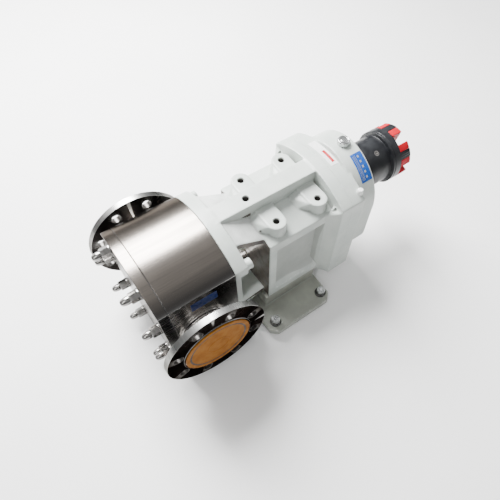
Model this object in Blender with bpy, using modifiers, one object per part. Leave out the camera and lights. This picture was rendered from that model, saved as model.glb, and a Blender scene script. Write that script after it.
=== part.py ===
"""Rotary lobe pump with two stacked shafts, side ports and a timing gearbox.

Metres, +Z up, +X to the outlet port, +Y to the coupling. All parts hang on the
empty "port_axis", which lies on the axis of the two ports. The origin of the
scene is under the middle of the pump, at the underside of its foot.
"""
import math

import bmesh
import bpy
from mathutils import Matrix

# Overall places
PORT_HEIGHT = 0.152
SHAFT_OFFSET = 0.050
FIT_GAP = 0.0003
ROUND_STEPS = 16
BOLT_STEPS = 8
OVERLAP = 0.001
BRIDGE = 0.006

# Rotor case and front cover
CASE_HALF_WIDTH = 0.101
CASE_SIDE = 0.101
CASE_RISE = 0.036
COVER_FRONT_Y = -0.0703
COVER_REAR_Y = -0.0513
CASE_FRONT_Y = -0.051
CHAMBER_REAR_Y = 0.052
CASE_REAR_Y = 0.0747
CHAMBER_RADIUS = 0.067
SEAL_HOUSING_RADIUS = 0.030
STUD_PLACES = ((0.050, 0.114), (0.088, 0.050), (0.088, -0.050), (0.050, -0.114))
STUD_RADIUS = 0.005
STUD_END_Y = -0.032
NUT_RADIUS = 0.0098
NUT_BORE = 0.0062
NUT_TIP_Y = -0.1035
NUT_TIP_RADIUS = 0.0056
NUT_TIP_ROUNDING = 0.005
NUT_NECK_RADIUS = 0.0064
NUT_NECK_HEIGHT = 0.0170
NUT_HEX_HEIGHT = 0.0150
NUT_BORE_DEPTH = 0.0135
STUD_REACH = 0.013
STUD_SPACE = 0.002
O_RING_INNER = 0.0705
O_RING_OUTER = 0.0745
O_RING_DEPTH = 0.0030

# Rotors
LOBES = 3
ROTOR_LENGTH = 0.101
ROTOR_FRONT_Y = -0.050
ROTOR_CLEARANCE = 0.0005
ROTOR_NUT_DEPTH = 0.016
ROTOR_NUT_RADIUS = 0.024
ROTOR_NUT_FACE_RADIUS = 0.020
ROTOR_NUT_BORE = 0.0123
ROTOR_NUT_RIM = 0.004
ROTOR_NUT_FACE = 0.0015
ROTOR_RECESS_RADIUS = 0.027

# Ports
PORT_BORE = 0.040
NECK_RADIUS = 0.045
COLLAR_RADIUS = 0.048
COLLAR_LENGTH = 0.006
FLANGE_RADIUS = 0.100
FLANGE_THICKNESS = 0.012
FLANGE_FACE_X = 0.1485
FLANGE_BOLT_CIRCLE = 0.080
FLANGE_HOLE_RADIUS = 0.009
FLANGE_HOLES = 8
CAP_RADIUS = 0.0655
LIP_INNER_RADIUS = 0.0662
LIP_RADIUS = 0.0690
LIP_CHAMFER = 0.0012
LIP_HEIGHT = 0.0010
CAP_THICKNESS = 0.0025
CAP_PLUG_DEPTH = 0.012
CAP_WALL = 0.0025
CAP_PLUG_RADIUS = 0.039

# Gearbox housing
PLATE_FRONT_Y = 0.075
PLATE_REAR_Y = 0.100
PLATE_NOTCH_Z = 0.083
PLATE_NOTCH_DEPTH = 0.026
NECK_HALF_WIDTH = 0.064
ROOF_PLATE_Z = 0.126
ROOF_BODY_Z = 0.092
RIDGE_PLATE_Z = 0.137
SHOULDER_TOP_Z = 0.106
SHOULDER_EDGE_Z = 0.086
ROOF_THICKNESS = 0.012
FLOOR_PLATE_Z = -0.108
FLOOR_BODY_Z = -0.094
BODY_HALF_WIDTH = 0.083
BODY_FRONT_Y = 0.159
BODY_BOTTOM_Z = -0.098
ROOF_SINK = 0.003
CASE_BOLT_PLACE = (0.089, 0.092)
CASE_BOLT_RADIUS = 0.0060
CASE_BOLT_HEAD_RADIUS = 0.0090
CASE_BOLT_HEAD_HEIGHT = 0.0123
CASE_BOLT_CHAMFER = 0.0010
RIDGE_HALF_WIDTH = 0.0183
RIDGE_TOP_Z = 0.1365
RIDGE_HOLE_Y = 0.164
BOSS_X = 0.0565
BOSS_ROWS = (0.190, 0.283)
BOSS_TOP_Z = 0.1145
BOSS_RADIUS = 0.0185
BOSS_ROOT = 0.004
BOSS_HOLE_RADIUS = 0.0060
BOSS_HOLE_DEPTH = 0.018
GEAR_CASE_FRONT_Y = 0.306
GEAR_CASE_REAR_Y = 0.330
GEAR_CASE_HALF_WIDTH = 0.1055
GEAR_CASE_SIDE = 0.106
GEAR_CASE_RISE = 0.033
GEAR_CASE_WALL = 0.014
FLARE_FRONT_Y = 0.286
FLARE_TOP_Z = 0.100
FLARE_BOTTOM_Z = -0.104
PANEL_Y = (0.175, 0.286)
PANEL_Z = (-0.078, 0.066)
PANEL_FLOOR_Y = (0.180, 0.278)
PANEL_FLOOR_Z = (-0.060, 0.060)
PANEL_DEPTH = 0.014
SUMP_Y = (0.197, 0.284)
SUMP_HALF_WIDTH = 0.058
SUMP_Z = (-0.082, 0.080)
MID_WALL_REAR_Y = 0.325

# Bearings and shafts
BEARING_OUTER = 0.045
BEARING_BORE = 0.020
BEARING_WIDTH = 0.023
RACE_THICKNESS = 0.007
FRONT_BEARING_Y = 0.178
REAR_BEARING_Y = 0.300
SHAFT_FRONT_RADIUS = 0.018
SHAFT_BODY_RADIUS = 0.020
SHAFT_SPACER_RADIUS = 0.0235
SHAFT_GEAR_RADIUS = 0.019
SHAFT_END_RADIUS = 0.0175
SHAFT_END_Y = 0.506
HOUSING_SHAFT_HOLE = 0.032
BODY_SHAFT_HOLE = 0.026
RACE_GAP = 0.0006
SHAFT_THREAD_RADIUS = 0.012
SHAFT_THREAD_LENGTH = 0.013
SHAFT_CHAMFER = 0.0015
GEAR_SEAT_REACH = 0.003
DRIVEN_SHAFT_END_Y = 0.3535

# Shaft seals
SEAL_SEAT_Y = (0.0530, 0.0650)
SEAL_SEAT_BORE = 0.021
SEAL_RING_Y = (0.0653, 0.092)
SEAL_RING_RADIUS = 0.0275
SEAL_RING_END_RADIUS = 0.026
SEAL_RING_CONE = 0.004

# Timing gears
GEAR_TEETH = 25
GEAR_PITCH_RADIUS = 0.050
GEAR_Y = (0.329, 0.351)
GEAR_PRESSURE_ANGLE = math.radians(20.0)
GEAR_BACKLASH = 0.0006
GEAR_ADDENDUM = 0.9
GEAR_DEDENDUM = 1.25

# Gear cover
COVER_PLATE_Y = (0.3303, 0.362)
COVER_CAVITY_REAR_Y = 0.354
DOME_RADIUS = 0.097
DOME_BOTTOM_Z = -0.060
DOME_CORNER = 0.022
DOME_REAR_Y = 0.408
DOME_WALL = 0.012
DOME_END_WALL = 0.010
LIP_SEAL_RADIUS = 0.027
LIP_SEAL_DEPTH = 0.009
LIP_SEAL_BORE_DEPTH = 0.012
LIP_GAP = 0.0007
FILLER_Y = 0.385
FILLER_RADIUS = 0.012
FILLER_STEM = 0.008
FILLER_TOP_RADIUS = 0.0095
FILLER_HEIGHT = 0.009
FILLER_RIM = 0.0065
FILLER_DEPTH = 0.010
DRAIN_Z = -0.085
DRAIN_RADIUS = 0.009
DRAIN_STEM = 0.0067
DRAIN_HEIGHT = 0.007

# Coupling
HUB_FRONT_Y = 0.412
HUB_STEP_Y = 0.498
HUB_FACE_Y = 0.520
CLAW_END_Y = 0.546
HUB_RADIUS = 0.049
RING_RADIUS = 0.056
CLAWS = 5
CLAW_PHASE = math.radians(58.0)
CLAW_ANGLE = math.radians(17.0)
CLAW_INNER = 0.027
LEG_ANGLE = math.radians(15.5)
SPIDER_BORE = 0.012
SPIDER_RING = 0.0265
SPIDER_PROUD = 0.0005
LEG_SPACE = math.radians(0.8)

# Foot
FOOT_HALF_WIDTH = 0.150
FOOT_Y = (0.124, 0.288)
FOOT_THICKNESS = 0.020
FOOT_CORNER = 0.014
PEDESTAL_HALF_WIDTH = 0.082
PEDESTAL_Y = (0.152, 0.284)
FOOT_BOLT_X = 0.127
FOOT_BOLT_Y = (0.146, 0.271)
FOOT_BOLT_RADIUS = 0.006
FOOT_HEAD_RADIUS = 0.0093
FOOT_HEAD_HEIGHT = 0.012
FOOT_WASHER_RADIUS = 0.0125
FOOT_WASHER_HEIGHT = 0.0025
FOOT_SOCKET_RADIUS = 0.0050
FOOT_SOCKET_DEPTH = 0.006

# The two ends of the pump lie equally far from the origin
PORT_Y = -(NUT_TIP_Y + CLAW_END_Y) / 2

TURN_TO_Y = (math.radians(-90.0), 0.0, 0.0)
OUTLINE_TO_Y = (math.radians(90.0), 0.0, 0.0)
OUTLINE_TO_X = (math.radians(90.0), 0.0, math.radians(90.0))

SCENE = {}


# ---------------------------------------------------------------- scene and materials

def clear_scene():
    """Remove every object, then make the collections for parts and cutters."""
    for obj in list(bpy.data.objects):
        bpy.data.objects.remove(obj, do_unlink=True)
    for name in ("lobe_pump", "cutters"):
        group = bpy.data.collections.new(name)
        bpy.context.scene.collection.children.link(group)
        SCENE[name] = group


def make_material(name, color, roughness, metallic):
    material = bpy.data.materials.new(name)
    material.use_nodes = True
    shader = material.node_tree.nodes["Principled BSDF"]
    shader.inputs["Base Color"].default_value = (*color, 1.0)
    shader.inputs["Roughness"].default_value = roughness
    shader.inputs["Metallic"].default_value = metallic
    return material


def finish(name):
    """The colour, roughness and metallic value of each finish."""
    finishes = {
        "paint": ((0.66, 0.69, 0.66), 0.45, 0.0),
        "polished_steel": ((0.55, 0.53, 0.50), 0.18, 1.0),
        "machined_steel": ((0.42, 0.42, 0.43), 0.30, 1.0),
        "fastener": ((0.50, 0.49, 0.47), 0.28, 1.0),
        "bearing_steel": ((0.35, 0.36, 0.38), 0.22, 1.0),
        "black_iron": ((0.015, 0.016, 0.018), 0.38, 0.2),
        "red_elastomer": ((0.72, 0.02, 0.05), 0.42, 0.0),
        "amber_plastic": ((0.55, 0.24, 0.01), 0.40, 0.0),
        "black_rubber": ((0.02, 0.02, 0.02), 0.60, 0.0),
        "seal_carbon": ((0.08, 0.08, 0.085), 0.45, 0.0),
        "zinc": ((0.62, 0.63, 0.64), 0.25, 1.0),
    }
    return finishes[name]


# ---------------------------------------------------------------- shapes

def place(obj, parent, location, rotation):
    obj.parent = parent
    obj.location = location
    obj.rotation_euler = rotation


def mesh_object(name, mesh, parent, location=(0, 0, 0), rotation=(0, 0, 0)):
    obj = bpy.data.objects.new(name, mesh)
    SCENE["lobe_pump"].objects.link(obj)
    place(obj, parent, location, rotation)
    return obj


def as_part(obj, finish_name, sharp_angle=35.0):
    """Give an object its own material and smooth shading below the sharp angle."""
    color, roughness, metallic = finish(finish_name)
    obj.data.materials.clear()
    obj.data.materials.append(make_material(obj.name, color, roughness, metallic))
    obj.data.shade_smooth()
    obj.data.set_sharp_from_angle(angle=math.radians(sharp_angle))
    return obj


def as_tool(obj):
    """Turn an object into a boolean operand that is neither drawn nor a part."""
    for group in obj.users_collection:
        group.objects.unlink(obj)
    SCENE["cutters"].objects.link(obj)
    obj.hide_render = True
    obj.display_type = 'WIRE'
    return obj


def combine(target, tool, operation):
    modifier = target.modifiers.new(tool.name, 'BOOLEAN')
    modifier.operation = operation
    modifier.solver = 'EXACT'
    modifier.object = as_tool(tool)


def add(target, tool):
    combine(target, tool, 'UNION')


def cut(target, tool):
    combine(target, tool, 'DIFFERENCE')


def box(name, parent, x, y, z):
    """A box from its low and high limits on each axis."""
    mesh = bpy.data.meshes.new(name)
    shape = bmesh.new()
    bmesh.ops.create_cube(shape, size=1.0)
    size = (x[1] - x[0], y[1] - y[0], z[1] - z[0])
    centre = ((x[0] + x[1]) / 2, (y[0] + y[1]) / 2, (z[0] + z[1]) / 2)
    matrix = Matrix.Translation(centre) @ Matrix.Diagonal((*size, 1.0))
    bmesh.ops.transform(shape, matrix=matrix, verts=shape.verts)
    shape.to_mesh(mesh)
    shape.free()
    return mesh_object(name, mesh, parent)


def hull(name, parent, points):
    """The convex solid around a few points."""
    mesh = bpy.data.meshes.new(name)
    shape = bmesh.new()
    for point in points:
        shape.verts.new(point)
    bmesh.ops.convex_hull(shape, input=shape.verts)
    bmesh.ops.recalc_face_normals(shape, faces=shape.faces)
    shape.to_mesh(mesh)
    shape.free()
    return mesh_object(name, mesh, parent)


def cylinder(name, parent, axis, radius, start, end, at=(0, 0), segments=24):
    """A cylinder along X, Y or Z, from start to end; at gives the other two coordinates."""
    mesh = bpy.data.meshes.new(name)
    shape = bmesh.new()
    bmesh.ops.create_cone(shape, cap_ends=True, segments=segments,
                          radius1=radius, radius2=radius, depth=end - start)
    shape.to_mesh(mesh)
    shape.free()
    middle = (start + end) / 2
    if axis == 'X':
        return mesh_object(name, mesh, parent, (middle, *at), (0, math.radians(90.0), 0))
    if axis == 'Y':
        return mesh_object(name, mesh, parent, (at[0], middle, at[1]), TURN_TO_Y)
    return mesh_object(name, mesh, parent, (*at, middle))


def turned(name, parent, profile, segments=ROUND_STEPS, location=(0, 0, 0), rotation=TURN_TO_Y):
    """Turn a profile of (radius, height) about its axis, which lies along +Y by default.

    The profile starts at the far end and runs down the outside, so that faces point out.
    """
    mesh = bpy.data.meshes.new(name)
    points = [(radius, 0.0, height) for radius, height in profile]
    closed = profile[0][0] > 0.0
    edges = [(i, i + 1) for i in range(len(points) - 1)]
    if closed:
        edges.append((len(points) - 1, 0))
    mesh.from_pydata(points, edges, [])
    obj = mesh_object(name, mesh, parent, location, rotation)
    screw = obj.modifiers.new("turn", 'SCREW')
    screw.steps = segments
    screw.render_steps = segments
    screw.use_merge_vertices = True
    screw.merge_threshold = 0.00001
    screw.use_smooth_shade = True
    return obj


def ring_profile(inner, outer, start, end):
    return [(inner, end), (outer, end), (outer, start), (inner, start)]


def outlined(name, parent, loops, start, end, rotation=OUTLINE_TO_Y):
    """Extrude closed outlines of (across, up) from start to end along Y, or along X."""
    curve = bpy.data.curves.new(name + "_outline", 'CURVE')
    curve.dimensions = '2D'
    curve.fill_mode = 'BOTH'
    curve.extrude = (end - start) / 2
    for loop in loops:
        spline = curve.splines.new('POLY')
        spline.points.add(len(loop) - 1)
        for point, (across, up) in zip(spline.points, loop):
            point.co = (across, up, 0.0, 1.0)
        spline.use_cyclic_u = True
    flat = bpy.data.objects.new(name + "_outline", curve)
    SCENE["lobe_pump"].objects.link(flat)
    bpy.context.view_layer.update()
    evaluated = flat.evaluated_get(bpy.context.evaluated_depsgraph_get())
    mesh = bpy.data.meshes.new_from_object(evaluated)
    mesh.name = name
    bpy.data.objects.remove(flat, do_unlink=True)
    weld_caps(mesh)
    middle = (start + end) / 2
    location = (middle, 0, 0) if rotation == OUTLINE_TO_X else (0, middle, 0)
    return mesh_object(name, mesh, parent, location, rotation)


def weld_caps(mesh):
    shape = bmesh.new()
    shape.from_mesh(mesh)
    bmesh.ops.remove_doubles(shape, verts=shape.verts, dist=0.000005)
    bmesh.ops.recalc_face_normals(shape, faces=shape.faces)
    shape.to_mesh(mesh)
    shape.free()
    mesh.materials.clear()


# ---------------------------------------------------------------- outlines

def arc(centre, radius, first, last, steps):
    """Points on an arc; angles in degrees from +up towards +across."""
    points = []
    for step in range(steps + 1):
        angle = math.radians(first + (last - first) * step / steps)
        points.append((centre[0] + radius * math.sin(angle), centre[1] + radius * math.cos(angle)))
    return points


def circle(centre, radius, steps=16):
    return arc(centre, radius, 0.0, 360.0, steps)[:-1]


def arched(half_width, side, rise, steps=10):
    """A rectangle with a shallow arc on its top and its bottom."""
    radius = (half_width ** 2 + rise ** 2) / (2 * rise)
    spread = math.degrees(math.asin(half_width / radius))
    top = arc((0, side + rise - radius), radius, -spread, spread, steps)
    bottom = [(-across, -up) for across, up in top]
    return top + bottom


def two_circles(radius, steps=20):
    """The outline round two overlapping circles on the two shaft axes."""
    half = 180.0 - math.degrees(math.acos(SHAFT_OFFSET / radius))
    top = arc((0, SHAFT_OFFSET), radius, -half, half, steps)
    bottom = [(-across, -up) for across, up in top]
    return top[:-1] + bottom[:-1]


def dome_outline(radius, bottom, corner):
    """The raised back of the gear cover: round over the top shaft, flat below."""
    low = bottom + corner
    points = arc((0, SHAFT_OFFSET), radius, -90, 90, 18)
    points += arc((radius - corner, low), corner, 90, 180, 3)
    points += arc((-radius + corner, low), corner, 180, 270, 3)
    return points


def rotor_outline(phase):
    """A three-lobed cycloidal rotor, drawn in by its running clearance."""
    pitch = SHAFT_OFFSET
    roller = pitch / (2 * LOBES)
    span = math.pi / LOBES
    steps = 10
    curve = []
    for sector in range(2 * LOBES):
        for step in range(steps):
            turn = span * step / steps
            if sector % 2 == 0:
                across = (pitch + roller) * math.cos(turn) - roller * math.cos((pitch / roller + 1) * turn)
                up = (pitch + roller) * math.sin(turn) - roller * math.sin((pitch / roller + 1) * turn)
            else:
                across = (pitch - roller) * math.cos(turn) + roller * math.cos((pitch / roller - 1) * turn)
                up = (pitch - roller) * math.sin(turn) - roller * math.sin((pitch / roller - 1) * turn)
            base = phase - span / 2 + sector * span
            curve.append((across * math.cos(base) - up * math.sin(base),
                          across * math.sin(base) + up * math.cos(base)))
    return drawn_in(curve, ROTOR_CLEARANCE)


def drawn_in(loop, distance):
    """Move each point of an anticlockwise loop inwards along its normal."""
    moved = []
    for index, (across, up) in enumerate(loop):
        before = loop[index - 1]
        after = loop[(index + 1) % len(loop)]
        run = after[0] - before[0]
        rise = after[1] - before[1]
        length = math.hypot(run, rise)
        moved.append((across - rise / length * distance, up + run / length * distance))
    return moved


def gear_outline(phase):
    """An involute spur gear with one tooth centred on the phase angle."""
    module = 2 * GEAR_PITCH_RADIUS / GEAR_TEETH
    base = GEAR_PITCH_RADIUS * math.cos(GEAR_PRESSURE_ANGLE)
    tip = GEAR_PITCH_RADIUS + GEAR_ADDENDUM * module
    root = GEAR_PITCH_RADIUS - GEAR_DEDENDUM * module
    involute_at_pitch = math.tan(GEAR_PRESSURE_ANGLE) - GEAR_PRESSURE_ANGLE
    half_tooth = math.pi / (2 * GEAR_TEETH) - GEAR_BACKLASH / (2 * GEAR_PITCH_RADIUS)
    flank = [(root, half_tooth + involute_at_pitch)]
    for radius in (base, tip):
        pressure = math.acos(min(1.0, base / radius))
        involute = math.tan(pressure) - pressure
        flank.append((radius, half_tooth + involute_at_pitch - involute))
    points = []
    for tooth in range(GEAR_TEETH):
        centre = phase + 2 * math.pi * tooth / GEAR_TEETH
        for radius, angle in flank:
            points.append((radius * math.cos(centre - angle), radius * math.sin(centre - angle)))
        for radius, angle in reversed(flank):
            points.append((radius * math.cos(centre + angle), radius * math.sin(centre + angle)))
    return points


def sector_outline(inner, outer, centre, width):
    """A block between two radii; the centre angle runs from +up towards +across."""
    first = math.degrees(centre - width / 2)
    last = math.degrees(centre + width / 2)
    outside = arc((0, 0), outer, first, last, 4)
    inside = arc((0, 0), inner, last, first, 3)
    return outside + inside


# ---------------------------------------------------------------- pump end

def stud_positions():
    return [(side * across, up) for side in (1, -1) for across, up in STUD_PLACES]


def rotor_case(root):
    outline = arched(CASE_HALF_WIDTH, CASE_SIDE, CASE_RISE)
    case = outlined("rotor_case", root, [outline], CASE_FRONT_Y, CASE_REAR_Y)
    chamber = outlined("chamber", root, [two_circles(CHAMBER_RADIUS)],
                       CASE_FRONT_Y - OVERLAP, CHAMBER_REAR_Y)
    cut(case, chamber)
    reach = CASE_HALF_WIDTH + OVERLAP
    cut(case, cylinder("port_passage", root, 'X', PORT_BORE, -reach, reach, segments=32))
    for name, up in (("upper_seal_bore", SHAFT_OFFSET), ("lower_seal_bore", -SHAFT_OFFSET)):
        cut(case, cylinder(name, root, 'Y', SEAL_HOUSING_RADIUS,
                           CHAMBER_REAR_Y - OVERLAP, CASE_REAR_Y + OVERLAP, (0, up)))
    for index, place_on_face in enumerate(stud_positions()):
        cut(case, cylinder(f"stud_socket_{index}", root, 'Y', STUD_RADIUS + FIT_GAP,
                           CASE_FRONT_Y - OVERLAP, STUD_END_Y + STUD_SPACE, place_on_face, BOLT_STEPS))
    as_part(case, "polished_steel")


def front_cover(root):
    holes = [circle(centre, STUD_RADIUS + FIT_GAP, BOLT_STEPS) for centre in stud_positions()]
    outline = arched(CASE_HALF_WIDTH, CASE_SIDE, CASE_RISE)
    cover = outlined("front_cover", root, [outline] + holes, COVER_FRONT_Y, COVER_REAR_Y)
    groove = outlined("o_ring_groove", root, [two_circles(O_RING_OUTER), two_circles(O_RING_INNER)],
                      COVER_REAR_Y - O_RING_DEPTH - FIT_GAP, COVER_REAR_Y + OVERLAP)
    cut(cover, groove)
    as_part(cover, "polished_steel")
    loops = [two_circles(O_RING_OUTER - FIT_GAP), two_circles(O_RING_INNER + FIT_GAP)]
    ring = outlined("front_cover_o_ring", root, loops, COVER_REAR_Y - O_RING_DEPTH, COVER_REAR_Y)
    as_part(ring, "black_rubber")


def cover_fasteners(root):
    """A stud and a domed nut at each place round the cover."""
    seat = COVER_FRONT_Y - FIT_GAP
    nut_profile = [
        (0.0, seat - NUT_TIP_Y), (NUT_TIP_RADIUS, seat - NUT_TIP_Y - NUT_TIP_ROUNDING),
        (NUT_NECK_RADIUS, NUT_NECK_HEIGHT), (NUT_RADIUS, NUT_HEX_HEIGHT), (NUT_RADIUS, 0.0),
        (NUT_BORE, 0.0), (NUT_BORE, NUT_BORE_DEPTH), (0.0, NUT_BORE_DEPTH),
    ]
    for index, (across, up) in enumerate(stud_positions(), start=1):
        stud = cylinder(f"cover_stud_{index}", root, 'Y', STUD_RADIUS,
                        seat - STUD_REACH, STUD_END_Y, (across, up), BOLT_STEPS)
        as_part(stud, "fastener")
        nut = turned(f"cover_dome_nut_{index}", root, nut_profile, 6,
                     (across, seat, up), OUTLINE_TO_Y)
        as_part(nut, "fastener")


def port(root, name, side):
    """A welded neck with its drilled flange, whose face has a low lip round the cap."""
    start = CASE_HALF_WIDTH + FIT_GAP
    back = FLANGE_FACE_X - FLANGE_THICKNESS
    lip = FLANGE_FACE_X + LIP_HEIGHT
    profile = [
        (PORT_BORE, FLANGE_FACE_X), (LIP_INNER_RADIUS, FLANGE_FACE_X), (LIP_INNER_RADIUS, lip),
        (LIP_RADIUS - LIP_CHAMFER, lip), (LIP_RADIUS, FLANGE_FACE_X),
        (FLANGE_RADIUS, FLANGE_FACE_X), (FLANGE_RADIUS, back),
        (NECK_RADIUS, back), (NECK_RADIUS, start + COLLAR_LENGTH),
        (COLLAR_RADIUS, start + COLLAR_LENGTH), (COLLAR_RADIUS, start), (PORT_BORE, start),
    ]
    facing = (0, side * math.radians(90.0), 0)
    flange = turned(name, root, profile, 36, (0, 0, 0), facing)
    for index in range(FLANGE_HOLES):
        angle = 2 * math.pi * (index + 0.5) / FLANGE_HOLES
        at = (FLANGE_BOLT_CIRCLE * math.cos(angle), FLANGE_BOLT_CIRCLE * math.sin(angle))
        ends = sorted((side * (back - OVERLAP), side * (FLANGE_FACE_X + OVERLAP)))
        cut(flange, cylinder(f"{name}_hole_{index}", root, 'X', FLANGE_HOLE_RADIUS,
                             ends[0], ends[1], at, 10))
    as_part(flange, "polished_steel")


def port_cap(root, name, side):
    """A plastic protector: a disc on the flange face with a short plug in the bore."""
    face = FLANGE_FACE_X + FIT_GAP
    plug_end = face - CAP_PLUG_DEPTH
    profile = [
        (0.0, face + CAP_THICKNESS), (CAP_RADIUS, face + CAP_THICKNESS), (CAP_RADIUS, face),
        (CAP_PLUG_RADIUS, face), (CAP_PLUG_RADIUS, plug_end), (CAP_PLUG_RADIUS - CAP_WALL, plug_end),
        (CAP_PLUG_RADIUS - CAP_WALL, face), (0.0, face),
    ]
    cap = turned(name, root, profile, 24, (0, 0, 0), (0, side * math.radians(90.0), 0))
    as_part(cap, "amber_plastic")


# ---------------------------------------------------------------- gearbox

def housing_plate(root):
    """The front plate, as broad as the rotor case only at its four corners."""
    outline = arched(CASE_HALF_WIDTH, CASE_SIDE, CASE_RISE)
    plate = outlined("gearbox_housing", root, [outline], PLATE_FRONT_Y, PLATE_REAR_Y)
    for side in (1, -1):
        limits = sorted((side * (CASE_HALF_WIDTH - PLATE_NOTCH_DEPTH), side * (CASE_HALF_WIDTH + OVERLAP)))
        cut(plate, box(f"plate_notch_{side}", root, limits, (PLATE_FRONT_Y - OVERLAP, PLATE_REAR_Y + OVERLAP),
                       (-PLATE_NOTCH_Z, PLATE_NOTCH_Z)))
    return plate


def housing_roof(root):
    """The sloping roof of the open space between the plate and the body."""
    front = PLATE_REAR_Y - BRIDGE
    rear = BODY_FRONT_Y + BRIDGE
    plate_z = ROOF_PLATE_Z - ROOF_SINK
    body_z = ROOF_BODY_Z - ROOF_SINK
    points = []
    for side in (1, -1):
        points += [
            (side * NECK_HALF_WIDTH, front, plate_z), (side * NECK_HALF_WIDTH, rear, body_z),
            (side * RIDGE_HALF_WIDTH, front, RIDGE_PLATE_Z - ROOF_SINK),
            (side * RIDGE_HALF_WIDTH, rear, SHOULDER_TOP_Z - OVERLAP),
            (side * NECK_HALF_WIDTH, front, plate_z - ROOF_THICKNESS),
            (side * NECK_HALF_WIDTH, rear, body_z - ROOF_THICKNESS),
        ]
    return hull("roof", root, points)


def housing_floor(root):
    """The floor of the same space, just above the foot."""
    points = []
    for across in (NECK_HALF_WIDTH, -NECK_HALF_WIDTH):
        for y, z in ((PLATE_REAR_Y - BRIDGE, FLOOR_PLATE_Z), (BODY_FRONT_Y + BRIDGE, FLOOR_BODY_Z)):
            points += [(across, y, z), (across, y, z + ROOF_THICKNESS)]
    return hull("floor", root, points)


def housing_body(root):
    shoulders = [
        (BODY_HALF_WIDTH, BODY_BOTTOM_Z), (BODY_HALF_WIDTH, SHOULDER_EDGE_Z),
        (RIDGE_HALF_WIDTH, SHOULDER_TOP_Z), (-RIDGE_HALF_WIDTH, SHOULDER_TOP_Z),
        (-BODY_HALF_WIDTH, SHOULDER_EDGE_Z), (-BODY_HALF_WIDTH, BODY_BOTTOM_Z),
    ]
    return outlined("body", root, [shoulders], BODY_FRONT_Y, GEAR_CASE_FRONT_Y + BRIDGE)


def body_flare(root, side):
    """The side of the body where it widens to the gear case."""
    inner = side * (BODY_HALF_WIDTH - OVERLAP)
    outer = side * (GEAR_CASE_HALF_WIDTH - OVERLAP)
    points = [(inner, FLARE_FRONT_Y, z) for z in (BODY_BOTTOM_Z, SHOULDER_EDGE_Z)]
    points += [(x, GEAR_CASE_FRONT_Y + OVERLAP, z)
               for x in (inner, outer) for z in (FLARE_BOTTOM_Z, FLARE_TOP_Z)]
    return hull(f"flare_{side}", root, points)


def panel_recess(root, side):
    """A shallow pocket with sloping walls in the side of the body."""
    outer = BODY_HALF_WIDTH + OVERLAP
    floor = BODY_HALF_WIDTH - PANEL_DEPTH
    points = [(side * outer, y, z) for y in PANEL_Y for z in PANEL_Z]
    points += [(side * floor, y, z) for y in PANEL_FLOOR_Y for z in PANEL_FLOOR_Z]
    return hull(f"panel_{side}", root, points)


def top_boss(root, index, side, middle):
    """A flat pad that runs out from the ridge to a round nose."""
    inner = RIDGE_HALF_WIDTH - OVERLAP
    nose = arc((BOSS_X, 0.0), BOSS_RADIUS, 0, 180, 8)
    loop = [(inner, -BOSS_RADIUS), (inner, BOSS_RADIUS)] + nose
    loop = [(side * across, middle + up) for across, up in loop]
    low = SHOULDER_EDGE_Z - BOSS_ROOT
    boss = outlined(f"boss_{index}", root, [loop], low, BOSS_TOP_Z, (0, 0, 0))
    boss.location = (0, 0, (low + BOSS_TOP_Z) / 2)
    return boss


def bearing_bores(root, housing):
    front_end = FRONT_BEARING_Y - BEARING_WIDTH / 2
    for name, up in (("upper", SHAFT_OFFSET), ("lower", -SHAFT_OFFSET)):
        cut(housing, cylinder(f"{name}_seal_hole", root, 'Y', HOUSING_SHAFT_HOLE,
                              PLATE_FRONT_Y - OVERLAP, PLATE_REAR_Y + OVERLAP, (0, up)))
        cut(housing, cylinder(f"{name}_shaft_hole", root, 'Y', BODY_SHAFT_HOLE,
                              BODY_FRONT_Y - BRIDGE, front_end + OVERLAP, (0, up)))
        cut(housing, cylinder(f"{name}_front_bore", root, 'Y', BEARING_OUTER,
                              front_end - FIT_GAP, SUMP_Y[0] + OVERLAP, (0, up)))
        cut(housing, cylinder(f"{name}_rear_bore", root, 'Y', BEARING_OUTER,
                              SUMP_Y[1] - OVERLAP, MID_WALL_REAR_Y + OVERLAP, (0, up)))


def tapped_holes(root, housing):
    """The blind holes in the four bosses and in the ridge, and the bolt holes of the plate."""
    for index, (side, middle) in enumerate([(s, m) for s in (1, -1) for m in BOSS_ROWS]):
        cut(housing, cylinder(f"boss_hole_{index}", root, 'Z', BOSS_HOLE_RADIUS,
                              BOSS_TOP_Z - BOSS_HOLE_DEPTH, BOSS_TOP_Z + OVERLAP,
                              (side * BOSS_X, middle), 10))
    cut(housing, cylinder("ridge_hole", root, 'Z', BOSS_HOLE_RADIUS,
                          RIDGE_TOP_Z - BOSS_HOLE_DEPTH, RIDGE_TOP_Z + OVERLAP, (0, RIDGE_HOLE_Y), 10))
    for index, at in enumerate(case_bolt_places()):
        cut(housing, cylinder(f"case_bolt_hole_{index}", root, 'Y', CASE_BOLT_RADIUS + FIT_GAP,
                              PLATE_FRONT_Y - OVERLAP, PLATE_REAR_Y + OVERLAP, at, BOLT_STEPS))


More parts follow.
